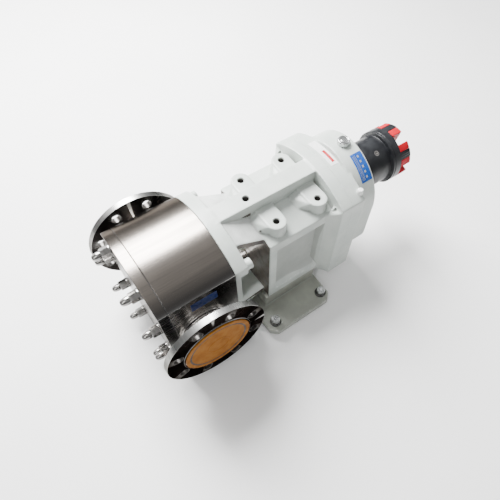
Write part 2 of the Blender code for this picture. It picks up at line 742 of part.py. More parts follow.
def gearbox_housing(root):
    housing = housing_plate(root)
    add(housing, housing_body(root))
    add(housing, housing_roof(root))
    add(housing, housing_floor(root))
    case_outline = arched(GEAR_CASE_HALF_WIDTH, GEAR_CASE_SIDE, GEAR_CASE_RISE)
    add(housing, outlined("gear_case", root, [case_outline], GEAR_CASE_FRONT_Y, GEAR_CASE_REAR_Y))
    add(housing, box("ridge", root, (-RIDGE_HALF_WIDTH, RIDGE_HALF_WIDTH),
                     (PLATE_REAR_Y - BRIDGE, GEAR_CASE_FRONT_Y + BRIDGE),
                     (ROOF_BODY_Z, RIDGE_TOP_Z)))
    for index, (side, middle) in enumerate([(s, m) for s in (1, -1) for m in BOSS_ROWS]):
        add(housing, top_boss(root, index, side, middle))
    for side in (1, -1):
        add(housing, body_flare(root, side))
        cut(housing, panel_recess(root, side))
    cut(housing, box("sump", root, (-SUMP_HALF_WIDTH, SUMP_HALF_WIDTH), SUMP_Y, SUMP_Z))
    inner = arched(GEAR_CASE_HALF_WIDTH - GEAR_CASE_WALL, GEAR_CASE_SIDE - GEAR_CASE_WALL, GEAR_CASE_RISE)
    cut(housing, outlined("gear_space", root, [inner], MID_WALL_REAR_Y, GEAR_CASE_REAR_Y + OVERLAP))
    bearing_bores(root, housing)
    tapped_holes(root, housing)
    as_part(housing, "paint")


def case_bolt_places():
    across, up = CASE_BOLT_PLACE
    return [(side * across, level * up) for side in (1, -1) for level in (1, -1)]


def case_bolts(root):
    """Painted bolts that pull the rotor case onto the housing plate."""
    seat = PLATE_REAR_Y + FIT_GAP
    top = PLATE_REAR_Y + CASE_BOLT_HEAD_HEIGHT
    end = PLATE_FRONT_Y + OVERLAP
    profile = [
        (0.0, top), (CASE_BOLT_HEAD_RADIUS - CASE_BOLT_CHAMFER, top),
        (CASE_BOLT_HEAD_RADIUS, top - CASE_BOLT_CHAMFER), (CASE_BOLT_HEAD_RADIUS, seat),
        (CASE_BOLT_RADIUS, seat), (CASE_BOLT_RADIUS, end), (0.0, end),
    ]
    for index, at in enumerate(case_bolt_places(), start=1):
        bolt = turned(f"case_bolt_{index}", root, profile, BOLT_STEPS, (at[0], 0, at[1]))
        as_part(bolt, "paint")


def gear_cover(root):
    outline = arched(GEAR_CASE_HALF_WIDTH, GEAR_CASE_SIDE, GEAR_CASE_RISE)
    cover = outlined("gear_cover", root, [outline], *COVER_PLATE_Y)
    dome = dome_outline(DOME_RADIUS, DOME_BOTTOM_Z, DOME_CORNER)
    add(cover, outlined("dome", root, [dome], COVER_PLATE_Y[1] - BRIDGE, DOME_REAR_Y))
    inner = arched(GEAR_CASE_HALF_WIDTH - GEAR_CASE_WALL, GEAR_CASE_SIDE - GEAR_CASE_WALL, GEAR_CASE_RISE)
    cut(cover, outlined("cover_space", root, [inner], COVER_PLATE_Y[0] - OVERLAP, COVER_CAVITY_REAR_Y))
    inside = dome_outline(DOME_RADIUS - DOME_WALL, DOME_BOTTOM_Z + DOME_WALL, DOME_CORNER - DOME_WALL)
    cut(cover, outlined("dome_space", root, [inside],
                        COVER_CAVITY_REAR_Y - OVERLAP, DOME_REAR_Y - DOME_END_WALL))
    cut(cover, cylinder("lip_seal_bore", root, 'Y', LIP_SEAL_RADIUS,
                        DOME_REAR_Y - LIP_SEAL_BORE_DEPTH, DOME_REAR_Y + OVERLAP, (0, SHAFT_OFFSET)))
    top = SHAFT_OFFSET + DOME_RADIUS
    cut(cover, cylinder("filler_hole", root, 'Z', FILLER_STEM + FIT_GAP,
                        top - DOME_WALL - BRIDGE, top + OVERLAP, (0, FILLER_Y), 16))
    cut(cover, cylinder("drain_hole", root, 'Y', DRAIN_STEM + FIT_GAP,
                        COVER_CAVITY_REAR_Y - OVERLAP, COVER_PLATE_Y[1] + OVERLAP, (0, DRAIN_Z), 12))
    as_part(cover, "paint")


def oil_fittings(root):
    """The filler cap on top, the drain plug at the back and the input shaft's lip seal."""
    top = SHAFT_OFFSET + DOME_RADIUS + FIT_GAP
    filler = turned("oil_filler_cap", root, [
        (0.0, top + FILLER_HEIGHT), (FILLER_TOP_RADIUS, top + FILLER_HEIGHT),
        (FILLER_RADIUS, top + FILLER_RIM), (FILLER_RADIUS, top), (FILLER_STEM, top),
        (FILLER_STEM, top - FILLER_DEPTH), (0.0, top - FILLER_DEPTH),
    ], ROUND_STEPS, (0, FILLER_Y, 0), (0, 0, 0))
    as_part(filler, "zinc")
    back = COVER_PLATE_Y[1] + FIT_GAP
    drain = turned("oil_drain_plug", root, [
        (0.0, back + DRAIN_HEIGHT), (DRAIN_RADIUS, back + DRAIN_HEIGHT), (DRAIN_RADIUS, back),
        (DRAIN_STEM, back), (DRAIN_STEM, back - DRAIN_HEIGHT), (0.0, back - DRAIN_HEIGHT),
    ], 12, (0, 0, DRAIN_Z))
    as_part(drain, "zinc")
    seal = turned("input_lip_seal", root, ring_profile(
        SHAFT_END_RADIUS + LIP_GAP, LIP_SEAL_RADIUS - FIT_GAP,
        DOME_REAR_Y - LIP_SEAL_DEPTH, DOME_REAR_Y),
        location=(0, 0, SHAFT_OFFSET))
    as_part(seal, "black_rubber")


def mounting_foot(root):
    low = -PORT_HEIGHT
    high = low + FOOT_THICKNESS
    corner = FOOT_CORNER
    x = FOOT_HALF_WIDTH
    front, rear = FOOT_Y
    loop = [
        (x - corner, front), (x, front + corner), (x, rear - corner), (x - corner, rear),
        (corner - x, rear), (-x, rear - corner), (-x, front + corner), (corner - x, front),
    ]
    holes = [circle(at, FOOT_BOLT_RADIUS + FIT_GAP, BOLT_STEPS) for at in foot_bolt_places()]
    foot = outlined("mounting_foot", root, [loop] + holes, low, high, (0, 0, 0))
    foot.location = (0, 0, (low + high) / 2)
    top = BODY_BOTTOM_Z - FIT_GAP
    add(foot, box("pedestal", root, (-PEDESTAL_HALF_WIDTH, PEDESTAL_HALF_WIDTH), PEDESTAL_Y,
                  (high - OVERLAP, top)))
    as_part(foot, "paint")


def foot_bolt_places():
    return [(side * FOOT_BOLT_X, y) for side in (1, -1) for y in FOOT_BOLT_Y]


def foot_bolts(root):
    """Socket head bolts with a broad washer face, sunk through the foot."""
    seat = FOOT_THICKNESS - PORT_HEIGHT + FIT_GAP
    washer = seat + FOOT_WASHER_HEIGHT
    top = washer + FOOT_HEAD_HEIGHT
    for index, at in enumerate(foot_bolt_places(), start=1):
        bolt = turned(f"foot_bolt_{index}", root, [
            (0.0, top - FOOT_SOCKET_DEPTH), (FOOT_SOCKET_RADIUS, top - FOOT_SOCKET_DEPTH),
            (FOOT_SOCKET_RADIUS, top), (FOOT_HEAD_RADIUS, top),
            (FOOT_HEAD_RADIUS, washer), (FOOT_WASHER_RADIUS, washer), (FOOT_WASHER_RADIUS, seat),
            (FOOT_BOLT_RADIUS, seat), (FOOT_BOLT_RADIUS, FIT_GAP - PORT_HEIGHT),
            (0.0, FIT_GAP - PORT_HEIGHT),
        ], BOLT_STEPS, (*at, 0), (0, 0, 0))
        as_part(bolt, "zinc")


# ---------------------------------------------------------------- shafts and what is on them

def shaft_axis(root, name, up):
    axis = bpy.data.objects.new(name, None)
    SCENE["lobe_pump"].objects.link(axis)
    place(axis, root, (0, 0, up), (0, 0, 0))
    return axis


def shaft(axis, name, end_y):
    """A stepped shaft; the drive shaft runs on to the coupling."""
    front = ROTOR_FRONT_Y + ROTOR_NUT_DEPTH - SHAFT_THREAD_LENGTH
    shoulder = ROTOR_FRONT_Y + ROTOR_LENGTH + FIT_GAP
    front_seat = FRONT_BEARING_Y + BEARING_WIDTH / 2 + FIT_GAP
    rear_seat = REAR_BEARING_Y - BEARING_WIDTH / 2 - FIT_GAP
    gear_front = GEAR_Y[0] - FIT_GAP
    gear_rear = GEAR_Y[1] + GEAR_SEAT_REACH
    thread_rear = ROTOR_FRONT_Y + ROTOR_NUT_DEPTH + FIT_GAP
    profile = [(0.0, end_y)]
    if end_y > gear_rear:
        profile += [(SHAFT_END_RADIUS - SHAFT_CHAMFER, end_y),
                    (SHAFT_END_RADIUS, end_y - SHAFT_CHAMFER), (SHAFT_END_RADIUS, gear_rear)]
    profile += [
        (SHAFT_GEAR_RADIUS, min(gear_rear, end_y)),
        (SHAFT_GEAR_RADIUS, gear_front), (SHAFT_BODY_RADIUS, gear_front),
        (SHAFT_BODY_RADIUS, rear_seat), (SHAFT_SPACER_RADIUS, rear_seat),
        (SHAFT_SPACER_RADIUS, front_seat), (SHAFT_BODY_RADIUS, front_seat),
        (SHAFT_BODY_RADIUS, shoulder), (SHAFT_FRONT_RADIUS, shoulder),
        (SHAFT_FRONT_RADIUS, thread_rear), (SHAFT_THREAD_RADIUS, thread_rear),
        (SHAFT_THREAD_RADIUS, front), (0.0, front),
    ]
    as_part(turned(name, axis, profile), "machined_steel")


def rotor(axis, name, phase):
    loops = [rotor_outline(phase), circle((0, 0), SHAFT_FRONT_RADIUS + FIT_GAP, 24)]
    body = outlined(name, axis, loops, ROTOR_FRONT_Y, ROTOR_FRONT_Y + ROTOR_LENGTH)
    cut(body, cylinder(name + "_recess", axis, 'Y', ROTOR_RECESS_RADIUS,
                       ROTOR_FRONT_Y - OVERLAP, ROTOR_FRONT_Y + ROTOR_NUT_DEPTH))
    as_part(body, "machined_steel")


def rotor_nut(axis, name):
    front = ROTOR_FRONT_Y + OVERLAP
    rear = ROTOR_FRONT_Y + ROTOR_NUT_DEPTH - FIT_GAP
    nut = turned(name, axis, [
        (ROTOR_NUT_BORE, rear), (ROTOR_NUT_RADIUS, rear), (ROTOR_NUT_RADIUS, front + ROTOR_NUT_RIM),
        (ROTOR_NUT_FACE_RADIUS, front), (0.0, front), (0.0, front + ROTOR_NUT_FACE),
        (ROTOR_NUT_BORE, front + ROTOR_NUT_FACE),
    ])
    as_part(nut, "fastener")


def seal_pair(root, axis, name, up):
    """A carbon seat held in the case and the ring that turns against it."""
    seat = turned(name + "_seal_seat", root, ring_profile(
        SEAL_SEAT_BORE, SEAL_HOUSING_RADIUS - FIT_GAP, *SEAL_SEAT_Y), location=(0, 0, up))
    as_part(seat, "seal_carbon")
    start, end = SEAL_RING_Y
    bore = SHAFT_BODY_RADIUS + FIT_GAP
    ring = turned(name + "_seal_ring", axis, [
        (bore, end), (SEAL_RING_END_RADIUS, end), (SEAL_RING_RADIUS, end - SEAL_RING_CONE),
        (SEAL_RING_RADIUS, start), (bore, start),
    ])
    as_part(ring, "machined_steel")


def bearing(root, axis, name, up, middle):
    """The two races of a ball bearing, with the ball space open between them."""
    start = middle - BEARING_WIDTH / 2
    end = middle + BEARING_WIDTH / 2
    outer = BEARING_OUTER - RACE_GAP
    bore = BEARING_BORE + FIT_GAP
    outer_race = turned(name + "_outer_race", root,
                        ring_profile(outer - RACE_THICKNESS, outer, start, end), location=(0, 0, up))
    inner_race = turned(name + "_inner_race", axis,
                        ring_profile(bore, bore + RACE_THICKNESS, start, end))
    as_part(outer_race, "bearing_steel")
    as_part(inner_race, "bearing_steel")


def timing_gear(axis, name, phase):
    loops = [gear_outline(phase), circle((0, 0), SHAFT_GEAR_RADIUS + FIT_GAP, 24)]
    as_part(outlined(name, axis, loops, *GEAR_Y), "machined_steel", 20.0)


def coupling(axis):
    """The jaw hub on the drive shaft and the red spider between its claws."""
    bore = SHAFT_END_RADIUS + FIT_GAP
    hub = turned("coupling_hub", axis, [
        (bore, HUB_FACE_Y), (RING_RADIUS, HUB_FACE_Y), (RING_RADIUS, HUB_STEP_Y),
        (HUB_RADIUS, HUB_STEP_Y), (HUB_RADIUS, HUB_FRONT_Y), (bore, HUB_FRONT_Y),
    ], 28)
    for index in range(CLAWS):
        centre = CLAW_PHASE + 2 * math.pi * index / CLAWS
        claw = sector_outline(CLAW_INNER, RING_RADIUS, centre, CLAW_ANGLE)
        add(hub, outlined(f"claw_{index}", axis, [claw], HUB_FACE_Y - BRIDGE, CLAW_END_Y))
    as_part(hub, "black_iron")
    spider = outlined("coupling_spider", axis, [spider_outline(), circle((0, 0), SPIDER_BORE, 20)],
                      HUB_FACE_Y + FIT_GAP, CLAW_END_Y - FIT_GAP)
    as_part(spider, "red_elastomer")


def spider_outline():
    """A ring with two legs beside each claw, clear of the claws by the fit gap."""
    points = []
    leg_reach = RING_RADIUS + SPIDER_PROUD
    beside = CLAW_ANGLE / 2 + LEG_ANGLE / 2 + LEG_SPACE
    for index in range(CLAWS):
        claw = CLAW_PHASE + 2 * math.pi * index / CLAWS
        for centre in (claw - beside, claw + beside):
            first = math.degrees(centre - LEG_ANGLE / 2)
            last = math.degrees(centre + LEG_ANGLE / 2)
            points.append(arc((0, 0), SPIDER_RING, first, first, 1)[0])
            points += arc((0, 0), leg_reach, first, last, 3)
            points.append(arc((0, 0), SPIDER_RING, last, last, 1)[0])
    return points


# ---------------------------------------------------------------- assembly

def build():
    clear_scene()
    root = bpy.data.objects.new("port_axis", None)
    SCENE["lobe_pump"].objects.link(root)
    place(root, None, (0, PORT_Y, PORT_HEIGHT), (0, 0, 0))

    rotor_case(root)
    front_cover(root)
    cover_fasteners(root)
    for name, side in (("outlet", 1), ("inlet", -1)):
        port(root, name + "_flange", side)
        port_cap(root, name + "_cap", side)
    gearbox_housing(root)
    case_bolts(root)
    gear_cover(root)
    oil_fittings(root)
    mounting_foot(root)
    foot_bolts(root)

    towards_driven = math.radians(-90.0)
    half_tooth = math.pi / GEAR_TEETH
    places = (("drive", SHAFT_OFFSET, SHAFT_END_Y), ("driven", -SHAFT_OFFSET, DRIVEN_SHAFT_END_Y))
    for name, up, end_y in places:
        axis = shaft_axis(root, name + "_axis", up)
        shaft(axis, name + "_shaft", end_y)
        rotor(axis, name + "_rotor", towards_driven)
        rotor_nut(axis, name + "_rotor_nut")
        seal_pair(root, axis, name, up)
        bearing(root, axis, name + "_front", up, FRONT_BEARING_Y)
        bearing(root, axis, name + "_rear", up, REAR_BEARING_Y)
        phase = towards_driven if name == "drive" else -towards_driven + half_tooth
        timing_gear(axis, name + "_gear", phase)
        if name == "drive":
            coupling(axis)


build()
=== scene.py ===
import math

import bmesh
import bpy
from mathutils import Matrix, Vector


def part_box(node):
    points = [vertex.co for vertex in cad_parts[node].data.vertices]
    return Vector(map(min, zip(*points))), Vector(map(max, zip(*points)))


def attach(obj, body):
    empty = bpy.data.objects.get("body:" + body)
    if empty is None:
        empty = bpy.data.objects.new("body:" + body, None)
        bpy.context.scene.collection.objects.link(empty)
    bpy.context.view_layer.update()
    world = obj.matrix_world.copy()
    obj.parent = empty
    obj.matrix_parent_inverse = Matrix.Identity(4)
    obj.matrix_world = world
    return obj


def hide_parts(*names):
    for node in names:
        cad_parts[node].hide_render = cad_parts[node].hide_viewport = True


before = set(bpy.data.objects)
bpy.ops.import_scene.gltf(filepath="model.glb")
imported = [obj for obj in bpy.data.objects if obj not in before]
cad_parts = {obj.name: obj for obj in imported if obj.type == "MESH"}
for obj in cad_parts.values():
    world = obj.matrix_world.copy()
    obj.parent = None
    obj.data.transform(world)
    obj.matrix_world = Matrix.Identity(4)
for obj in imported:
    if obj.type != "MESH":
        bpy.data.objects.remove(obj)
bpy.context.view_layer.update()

# The shapes below are drawn in millimetres in the pump's own frame: its origin is on
# the axis of the two ports, half way between them. TO_ROW puts them in the row frame.
FLANGE_LOW, FLANGE_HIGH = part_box("outlet_flange")
PORT_Y = (FLANGE_LOW[1] + FLANGE_HIGH[1]) / 2
PORT_Z = (FLANGE_LOW[2] + FLANGE_HIGH[2]) / 2
MM = 0.001
TO_ROW = Matrix.Translation((0.0, PORT_Y, PORT_Z)) @ Matrix.Scale(MM, 4)
SHAFT = 50.0
GAP = 0.3
PAST = 1.0          # how far a cutter runs past the face that it cuts
EDGE_BREAK = 0.9

# Rotor case and front cover
CASE_HALF_WIDTH = 101.0
CASE_SIDE = 101.0
CASE_RISE = 36.0
CASE_STEPS = 48
COVER_Y = (-70.3, -51.3)
CASE_Y = (-51.0, 74.7)
COVER_CUT_Y = (-71.0, -50.0)
SIDE_CUT_X = 103.0
CHAMBER_RADIUS = 67.0
CHAMBER_REAR_Y = 52.0
SEAL_BORE = 30.0
SEAL_BORE_Y = (51.0, 76.0)
STUD_HOLE = 5.4
STUD_HOLE_END_Y = -30.0
GROOVE_INNER = 70.5
GROOVE_OUTER = 74.5
GROOVE_FLOOR_Y = -54.6
NUT_HEXAGON = 9.8
NUT_DOME = 7.2
NUT_WASHER = 10.6
NUT_BORE = 6.3

# Ports and caps
PORT_BORE = 40.0
NECK_RADIUS = 45.0
FLANGE_RADIUS = 100.0
FLANGE_FACE = 148.5
FLANGE_BACK = 136.5
FLANGE_HOLES = 8
BOLT_CIRCLE = 80.0
BOLT_HOLE = 9.0
LIP = (66.2, 67.8, 69.0)
LIP_FACE = 149.5
CAP_RADIUS = 65.5
CAP_FACE = 150.4
CAP_SEAT = 148.9
CAP_GROOVE = (54.5, 58.0)

# Gearbox housing and gear cover
PLATE_Y = (75.0, 100.0)
PLATE_NOTCH = 75.0
PLATE_CORNER_Z = 83.0
NECK_HALF_WIDTH = 64.0
ROOF_SECTIONS = ((94.0, 124.5, 135.0, 112.0), (165.0, 89.0, 105.0, 77.0))  # y, eaves, ridge, underside
FLOOR_SECTIONS = ((94.0, -108.0), (165.0, -94.0))
FLOOR_THICKNESS = 12.0
RIDGE_HALF_WIDTH = 18.3
RIDGE_TOP = 136.4
RIDGE_FRONT_Y = 94.0
RIDGE_HOLE_Y = 164.0
BODY_HALF_WIDTH = 83.0
BODY_FRONT_Y = 159.0
BODY_BOTTOM = -98.0
SHOULDER_TOP = 106.0
SHOULDER_EDGE = 86.0
FLARE_Y = (286.0, 307.0)
GEAR_CASE_HALF_WIDTH = 105.5
GEAR_CASE_SIDE = 106.0
GEAR_CASE_RISE = 33.0
GEAR_CASE_FRONT_Y = 306.0
SEAM_Y = 330.0
GEAR_SPACE = (91.5, 92.0)
BOSS_X = 56.5
BOSS_RADIUS = 18.5
BOSS_TOP = 114.5
TAPPED_HOLE = 6.0
TAPPED_RIM = 8.2
BEARING_BORE = 45.2
DOME_RADIUS = 97.0
DOME_BOTTOM = -60.0
DOME_CORNER = 22.0
FILLER_Y = 385.0
KNURLS = 24
DRAIN_Z = -85.0
VENT_PLACE = (91.0, 356.0)

# Coupling and foot
HUB_Y = (412.0, 520.0)
HUB_RADIUS = 49.0
RING_RADIUS = 56.0
CLAW_ANGLES = [58.0 + 72.0 * index for index in range(5)]
LEG_OFFSET = 17.05          # degrees from the middle of a claw to the middle of a spider leg
LEG_HALF_ANGLE = 7.75
CLAW_END_Y = 546.0
HUB_SCREW_Y = 470.0
HUB_SCREW_TURNS = (25.0, 205.0)
FOOT_HALF_WIDTH = 150.0
FOOT_Y = (124.0, 288.0)
FOOT_CORNER = 14.0
FOOT_TOP = -132.0
FOOT_BOTTOM = -151.9
PEDESTAL_HALF_WIDTH = 82.0
PEDESTAL_Y = (152.0, 284.0)

# The voxel skin, its smoothing passes and the share of its faces that a casting keeps
CAST_VOXEL = 1.6
CAST_KEEP = 0.35
CAST_PASSES = 5
FOOT_PASSES = 4

STUDS = [(side * x, z) for side in (1, -1) for x, z in ((50, 114), (88, 50), (88, -50), (50, -114))]
CASE_BOLTS = [(side * 89.0, level * 92.0) for side in (1, -1) for level in (1, -1)]
FOOT_BOLTS = [(side * 127.0, y) for side in (1, -1) for y in (146.0, 271.0)]
BOSSES = [(side * BOSS_X, y) for side in (1, -1) for y in (190.0, 283.0)]


# ------------------------------------------------------------------ materials

class Material:
    """A node material that is built up one node at a time."""

    def __init__(self, name, **settings):
        self.data = bpy.data.materials.new(name)
        self.data.use_nodes = True
        self.tree = self.data.node_tree
        self.shader = self.tree.nodes["Principled BSDF"]
        for key, value in settings.items():
            self.shader.inputs[key.replace("_", " ")].default_value = value
        coordinates = self.node("ShaderNodeTexCoord")
        self.place = coordinates.outputs["Object"]
        self.normal = coordinates.outputs["Normal"]

    def node(self, kind, inputs=None, **attributes):
        node = self.tree.nodes.new(kind)
        for key, value in attributes.items():
            setattr(node, key, value)
        for key, value in (inputs or {}).items():
            if isinstance(value, bpy.types.NodeSocket):
                self.tree.links.new(value, node.inputs[key])
            else:
                node.inputs[key].default_value = value
        return node

    def stretch(self, x, y, z):
        scaled = self.node("ShaderNodeVectorMath", {0: self.place, 1: (x, y, z)}, operation='MULTIPLY')
        return scaled.outputs[0]

    def noise(self, scale, detail=2.0, place=None):
        node = self.node("ShaderNodeTexNoise", {
            "Vector": place or self.place, "Scale": scale, "Detail": detail})
        return node.outputs["Fac"]

    def remap(self, value, low, high, to_low, to_high):
        node = self.node("ShaderNodeMapRange", {
            0: value, 1: low, 2: high, 3: to_low, 4: to_high}, interpolation_type='SMOOTHSTEP')
        return node.outputs[0]

    def math(self, operation, first, second=0.0):
        return self.node("ShaderNodeMath", {0: first, 1: second}, operation=operation).outputs[0]

    def mix(self, amount, first, second):
        node = self.node("ShaderNodeMix", {0: amount}, data_type='RGBA')
        for socket, value in ((node.inputs[6], first), (node.inputs[7], second)):
            if isinstance(value, bpy.types.NodeSocket):
                self.tree.links.new(value, socket)
            else:
                socket.default_value = (*value, 1.0)
        return node.outputs[2]

    def edges(self, low, high):
        """0 on flat faces and 1 on convex edges."""
        pointiness = self.node("ShaderNodeNewGeometry").outputs["Pointiness"]
        return self.remap(pointiness, low, high, 0.0, 1.0)

    def facing(self, axis):
        """How far the surface faces along an axis of the object, from 0 to 1."""
        parts = self.node("ShaderNodeSeparateXYZ", {0: self.normal})
        return self.math('ABSOLUTE', parts.outputs[axis])

    def bump(self, height, strength, distance, normal=None):
        inputs = {"Height": height, "Strength": strength, "Distance": distance}
        if normal is not None:
            inputs["Normal"] = normal
        return self.node("ShaderNodeBump", inputs).outputs[0]

    def done(self, color=None, roughness=None, normal=None):
        for key, value in (("Base Color", color), ("Roughness", roughness), ("Normal", normal)):
            if value is not None:
                self.tree.links.new(value, self.shader.inputs[key])
        return self.data


def paint(name, color, shade, grain=1.0):
    """Satin two-pack paint on cast iron: orange peel, faint mottling, painted shade in the corners."""
    m = Material(name, Coat_Weight=0.18, Coat_Roughness=0.22, Specular_IOR_Level=0.45)
    mottle = m.remap(m.noise(22.0, 4.0), 0.35, 0.65, 0.0, 1.0)
    tone = m.mix(mottle, color, shade)
    # Painted shade: the colour darkens towards dark grey in concave corners and creases.
    corner_shade = m.remap(m.edges(0.46, 0.497), 0.0, 1.0, 0.55, 0.0)
    tone = m.mix(corner_shade, tone, (0.23, 0.235, 0.22))
    wear = m.math('MULTIPLY', m.edges(0.515, 0.56), m.remap(m.noise(160.0, 3.0), 0.5, 0.62, 0.0, 0.55))
    tone = m.mix(wear, tone, (0.80, 0.82, 0.79))
    specks = m.remap(m.noise(1400.0, 1.0), 0.70, 0.78, 0.0, 0.35)
    tone = m.mix(specks, tone, (0.30, 0.31, 0.29))
    rough = m.remap(m.noise(75.0, 3.0), 0.3, 0.7, 0.34, 0.52)
    sand = m.bump(m.noise(620.0, 3.0), min(1.0, 0.32 * grain), 0.0006)
    waves = m.bump(m.noise(95.0, 2.0), 0.22, 0.0016, sand)
    return m.done(tone, rough, waves)


def steel(name, light, dark, axis, rough, streak, depth):
    """Ground and polished stainless with fine grinding lines, coloured with painted reflections: one tone
    where it faces the axis, another elsewhere, broad painted bands, and a painted highlight on convex edges.
    """
    m = Material(name, Metallic=1.0, Specular_Tint=(0.35, 0.34, 0.33, 1.0))
    lines = m.noise(1.0, 3.0, m.stretch(*streak))
    # Painted reflection: broad bands, stretched as reflections stretch on a curved polished face.
    reflection_bands = m.noise(1.0, 1.0, m.stretch(*[value * 0.11 if value > 100.0 else 1.2 for value in streak]))
    # Painted reflection: one tone where the surface faces along the axis, another where it faces across.
    facing = m.remap(m.facing(axis), 0.75, 0.93, 0.0, 1.0)
    bright = m.mix(m.remap(reflection_bands, 0.36, 0.66, 0.0, 1.0), light, [value * 0.66 for value in light])
    deep = m.mix(m.remap(reflection_bands, 0.36, 0.66, 0.0, 1.0), dark, [value * 0.6 for value in dark])
    tone = m.mix(facing, deep, bright)
    tone = m.mix(m.remap(lines, 0.42, 0.70, 0.0, 0.25), tone, [min(value) for value in zip(light, dark)])
    # Painted highlight: lighter on convex edges.
    tone = m.mix(m.edges(0.52, 0.57), tone, (0.62, 0.61, 0.59))
    smear = m.remap(m.noise(9.0, 2.0), 0.4, 0.7, 0.0, 0.05)
    roughness = m.math('ADD', m.remap(lines, 0.3, 0.7, rough, rough + 0.03), smear)
    return m.done(tone, roughness, m.bump(lines, depth, 0.0002))


def turned_metal(name, color, rough, rings=2200.0, axis='Y'):
    """Lathe marks: fine rings round the axis of a turned piece, with a painted highlight on its convex edges.
    """
    m = Material(name, Metallic=1.0)
    bands = {'X': (rings, 6.0, 6.0), 'Y': (6.0, rings, 6.0), 'Z': (6.0, 6.0, rings)}[axis]
    lines = m.noise(1.0, 2.0, m.stretch(*bands))
    cloud = m.noise(60.0, 3.0)
    tone = m.mix(m.remap(lines, 0.35, 0.65, 0.0, 0.6), color, [value * 0.7 for value in color])
    tone = m.mix(m.remap(cloud, 0.45, 0.75, 0.0, 0.35), tone, [value * 0.5 for value in color])
    # Painted highlight: lighter on convex edges.
    tone = m.mix(m.edges(0.52, 0.58), tone, [min(0.9, value * 1.5 + 0.05) for value in color])
    roughness = m.remap(cloud, 0.3, 0.7, rough, rough + 0.14)
    return m.done(tone, roughness, m.bump(lines, 0.12, 0.0002))


def polymer(name, color, shade, rough, grain=900.0, depth=0.0003, scuffed=0.5, **settings):
    """Moulded plastic or rubber with a fine grain and scuffed edges."""
    m = Material(name, **settings)
    cloud = m.noise(55.0, 3.0)
    tone = m.mix(m.remap(cloud, 0.35, 0.7, 0.0, 1.0), color, shade)
    scuff = m.math('MULTIPLY', m.edges(0.52, 0.58), m.remap(m.noise(300.0, 2.0), 0.4, 0.6, 0.0, scuffed))
    tone = m.mix(scuff, tone, [value * 0.7 + 0.12 for value in color])
    roughness = m.remap(cloud, 0.3, 0.7, rough, rough + 0.15)
    return m.done(tone, roughness, m.bump(m.noise(grain, 2.0), 0.15, depth))


PAINT = (0.51, 0.545, 0.51)
MATERIALS = {
    "paint": paint("housing_paint", PAINT, (0.45, 0.49, 0.46)),
    "foot_paint": paint("foot_paint", (0.33, 0.34, 0.295), (0.27, 0.28, 0.245)),
    # Painted reflections: the case is brownish grey where it faces up and near black on its sides; the flange
    # faces are near black and its rim bright.
    "case": steel("case_steel", (0.21, 0.185, 0.162), (0.026, 0.025, 0.027), "Z", 0.20, (420.0, 9.0, 420.0),
                  depth=0.012),
    "flange": steel("flange_steel", (0.030, 0.027, 0.026), (0.40, 0.40, 0.39), "X", 0.24,
                    (30.0, 160.0, 160.0), depth=0.02),
    "bore": turned_metal("bolt_hole_steel", (0.09, 0.085, 0.08), 0.30, axis='X'),
    "neck": turned_metal("neck_steel", (0.46, 0.44, 0.42), 0.14, axis='X', rings=260.0),
    "chrome": turned_metal("nut_steel", (0.30, 0.29, 0.28), 0.12),
    "washer": turned_metal("washer_steel", (0.10, 0.10, 0.095), 0.35, axis='Z'),
    # Dark stain that also stands for painted shade inside the window between the plate and the body.
    "chamber": paint("stain_and_shade_wall", (0.105, 0.085, 0.068), (0.06, 0.05, 0.042)),
    "rough_cast": paint("rough_cast_paint", (0.62, 0.64, 0.62), (0.44, 0.46, 0.44), 4.0),
    "shaft": turned_metal("shaft_steel", (0.46, 0.43, 0.40), 0.17),
    "zinc": turned_metal("zinc_plate", (0.60, 0.61, 0.61), 0.20, axis='Z'),
    "hidden_steel": turned_metal("ground_steel", (0.40, 0.40, 0.41), 0.26),
    "thread": turned_metal("thread_steel", (0.07, 0.065, 0.06), 0.45, axis='Z'),
    "black": polymer("black_iron", (0.006, 0.0065, 0.008), (0.010, 0.011, 0.013), 0.30,
                     grain=520.0, depth=0.0005, scuffed=0.05, Specular_IOR_Level=0.35),
    "red": polymer("red_elastomer", (0.46, 0.0, 0.010), (0.36, 0.0, 0.008), 0.42, scuffed=0.2,
                   Specular_IOR_Level=0.2),
    "amber": polymer("amber_plastic", (0.25, 0.088, 0.0), (0.20, 0.068, 0.0), 0.5, Specular_IOR_Level=0.15),
    "amber_dark": polymer("amber_relief", (0.030, 0.016, 0.006), (0.022, 0.012, 0.005), 0.5, scuffed=0.0),
    "rubber": polymer("black_rubber", (0.022, 0.022, 0.022), (0.032, 0.031, 0.030), 0.55),
    "carbon": polymer("seal_carbon", (0.06, 0.06, 0.065), (0.085, 0.085, 0.09), 0.42),
    "white": polymer("white_plastic", (0.80, 0.81, 0.79), (0.72, 0.73, 0.71), 0.34),
    "label": polymer("label_film", (0.80, 0.80, 0.79), (0.74, 0.745, 0.74), 0.30, Coat_Weight=0.3),
    "label_red": polymer("label_red", (0.46, 0.0, 0.008), (0.38, 0.0, 0.006), 0.4, Specular_IOR_Level=0.2),
    "plate_blue": polymer("nameplate_blue", (0.002, 0.070, 0.34), (0.002, 0.055, 0.28), 0.40,
                          Specular_IOR_Level=0.25),
    "plate_silver": turned_metal("nameplate_silver", (0.62, 0.66, 0.72), 0.25, rings=400.0),
    "sticker": polymer("sticker_blue", (0.003, 0.030, 0.16), (0.002, 0.02, 0.11), 0.3,
                       Specular_IOR_Level=0.3),
}


# ------------------------------------------------------------------ outlines

def arc(centre, radius, first, last, steps):
    """Points on an arc; angles in degrees from +up towards +across."""
    points = []
    for step in range(steps + 1):
        angle = math.radians(first + (last - first) * step / steps)
        points.append((centre[0] + radius * math.sin(angle), centre[1] + radius * math.cos(angle)))
    return points


def circle(radius, centre=(0.0, 0.0), steps=48):
    return arc(centre, radius, 0.0, 360.0, steps)[:-1]


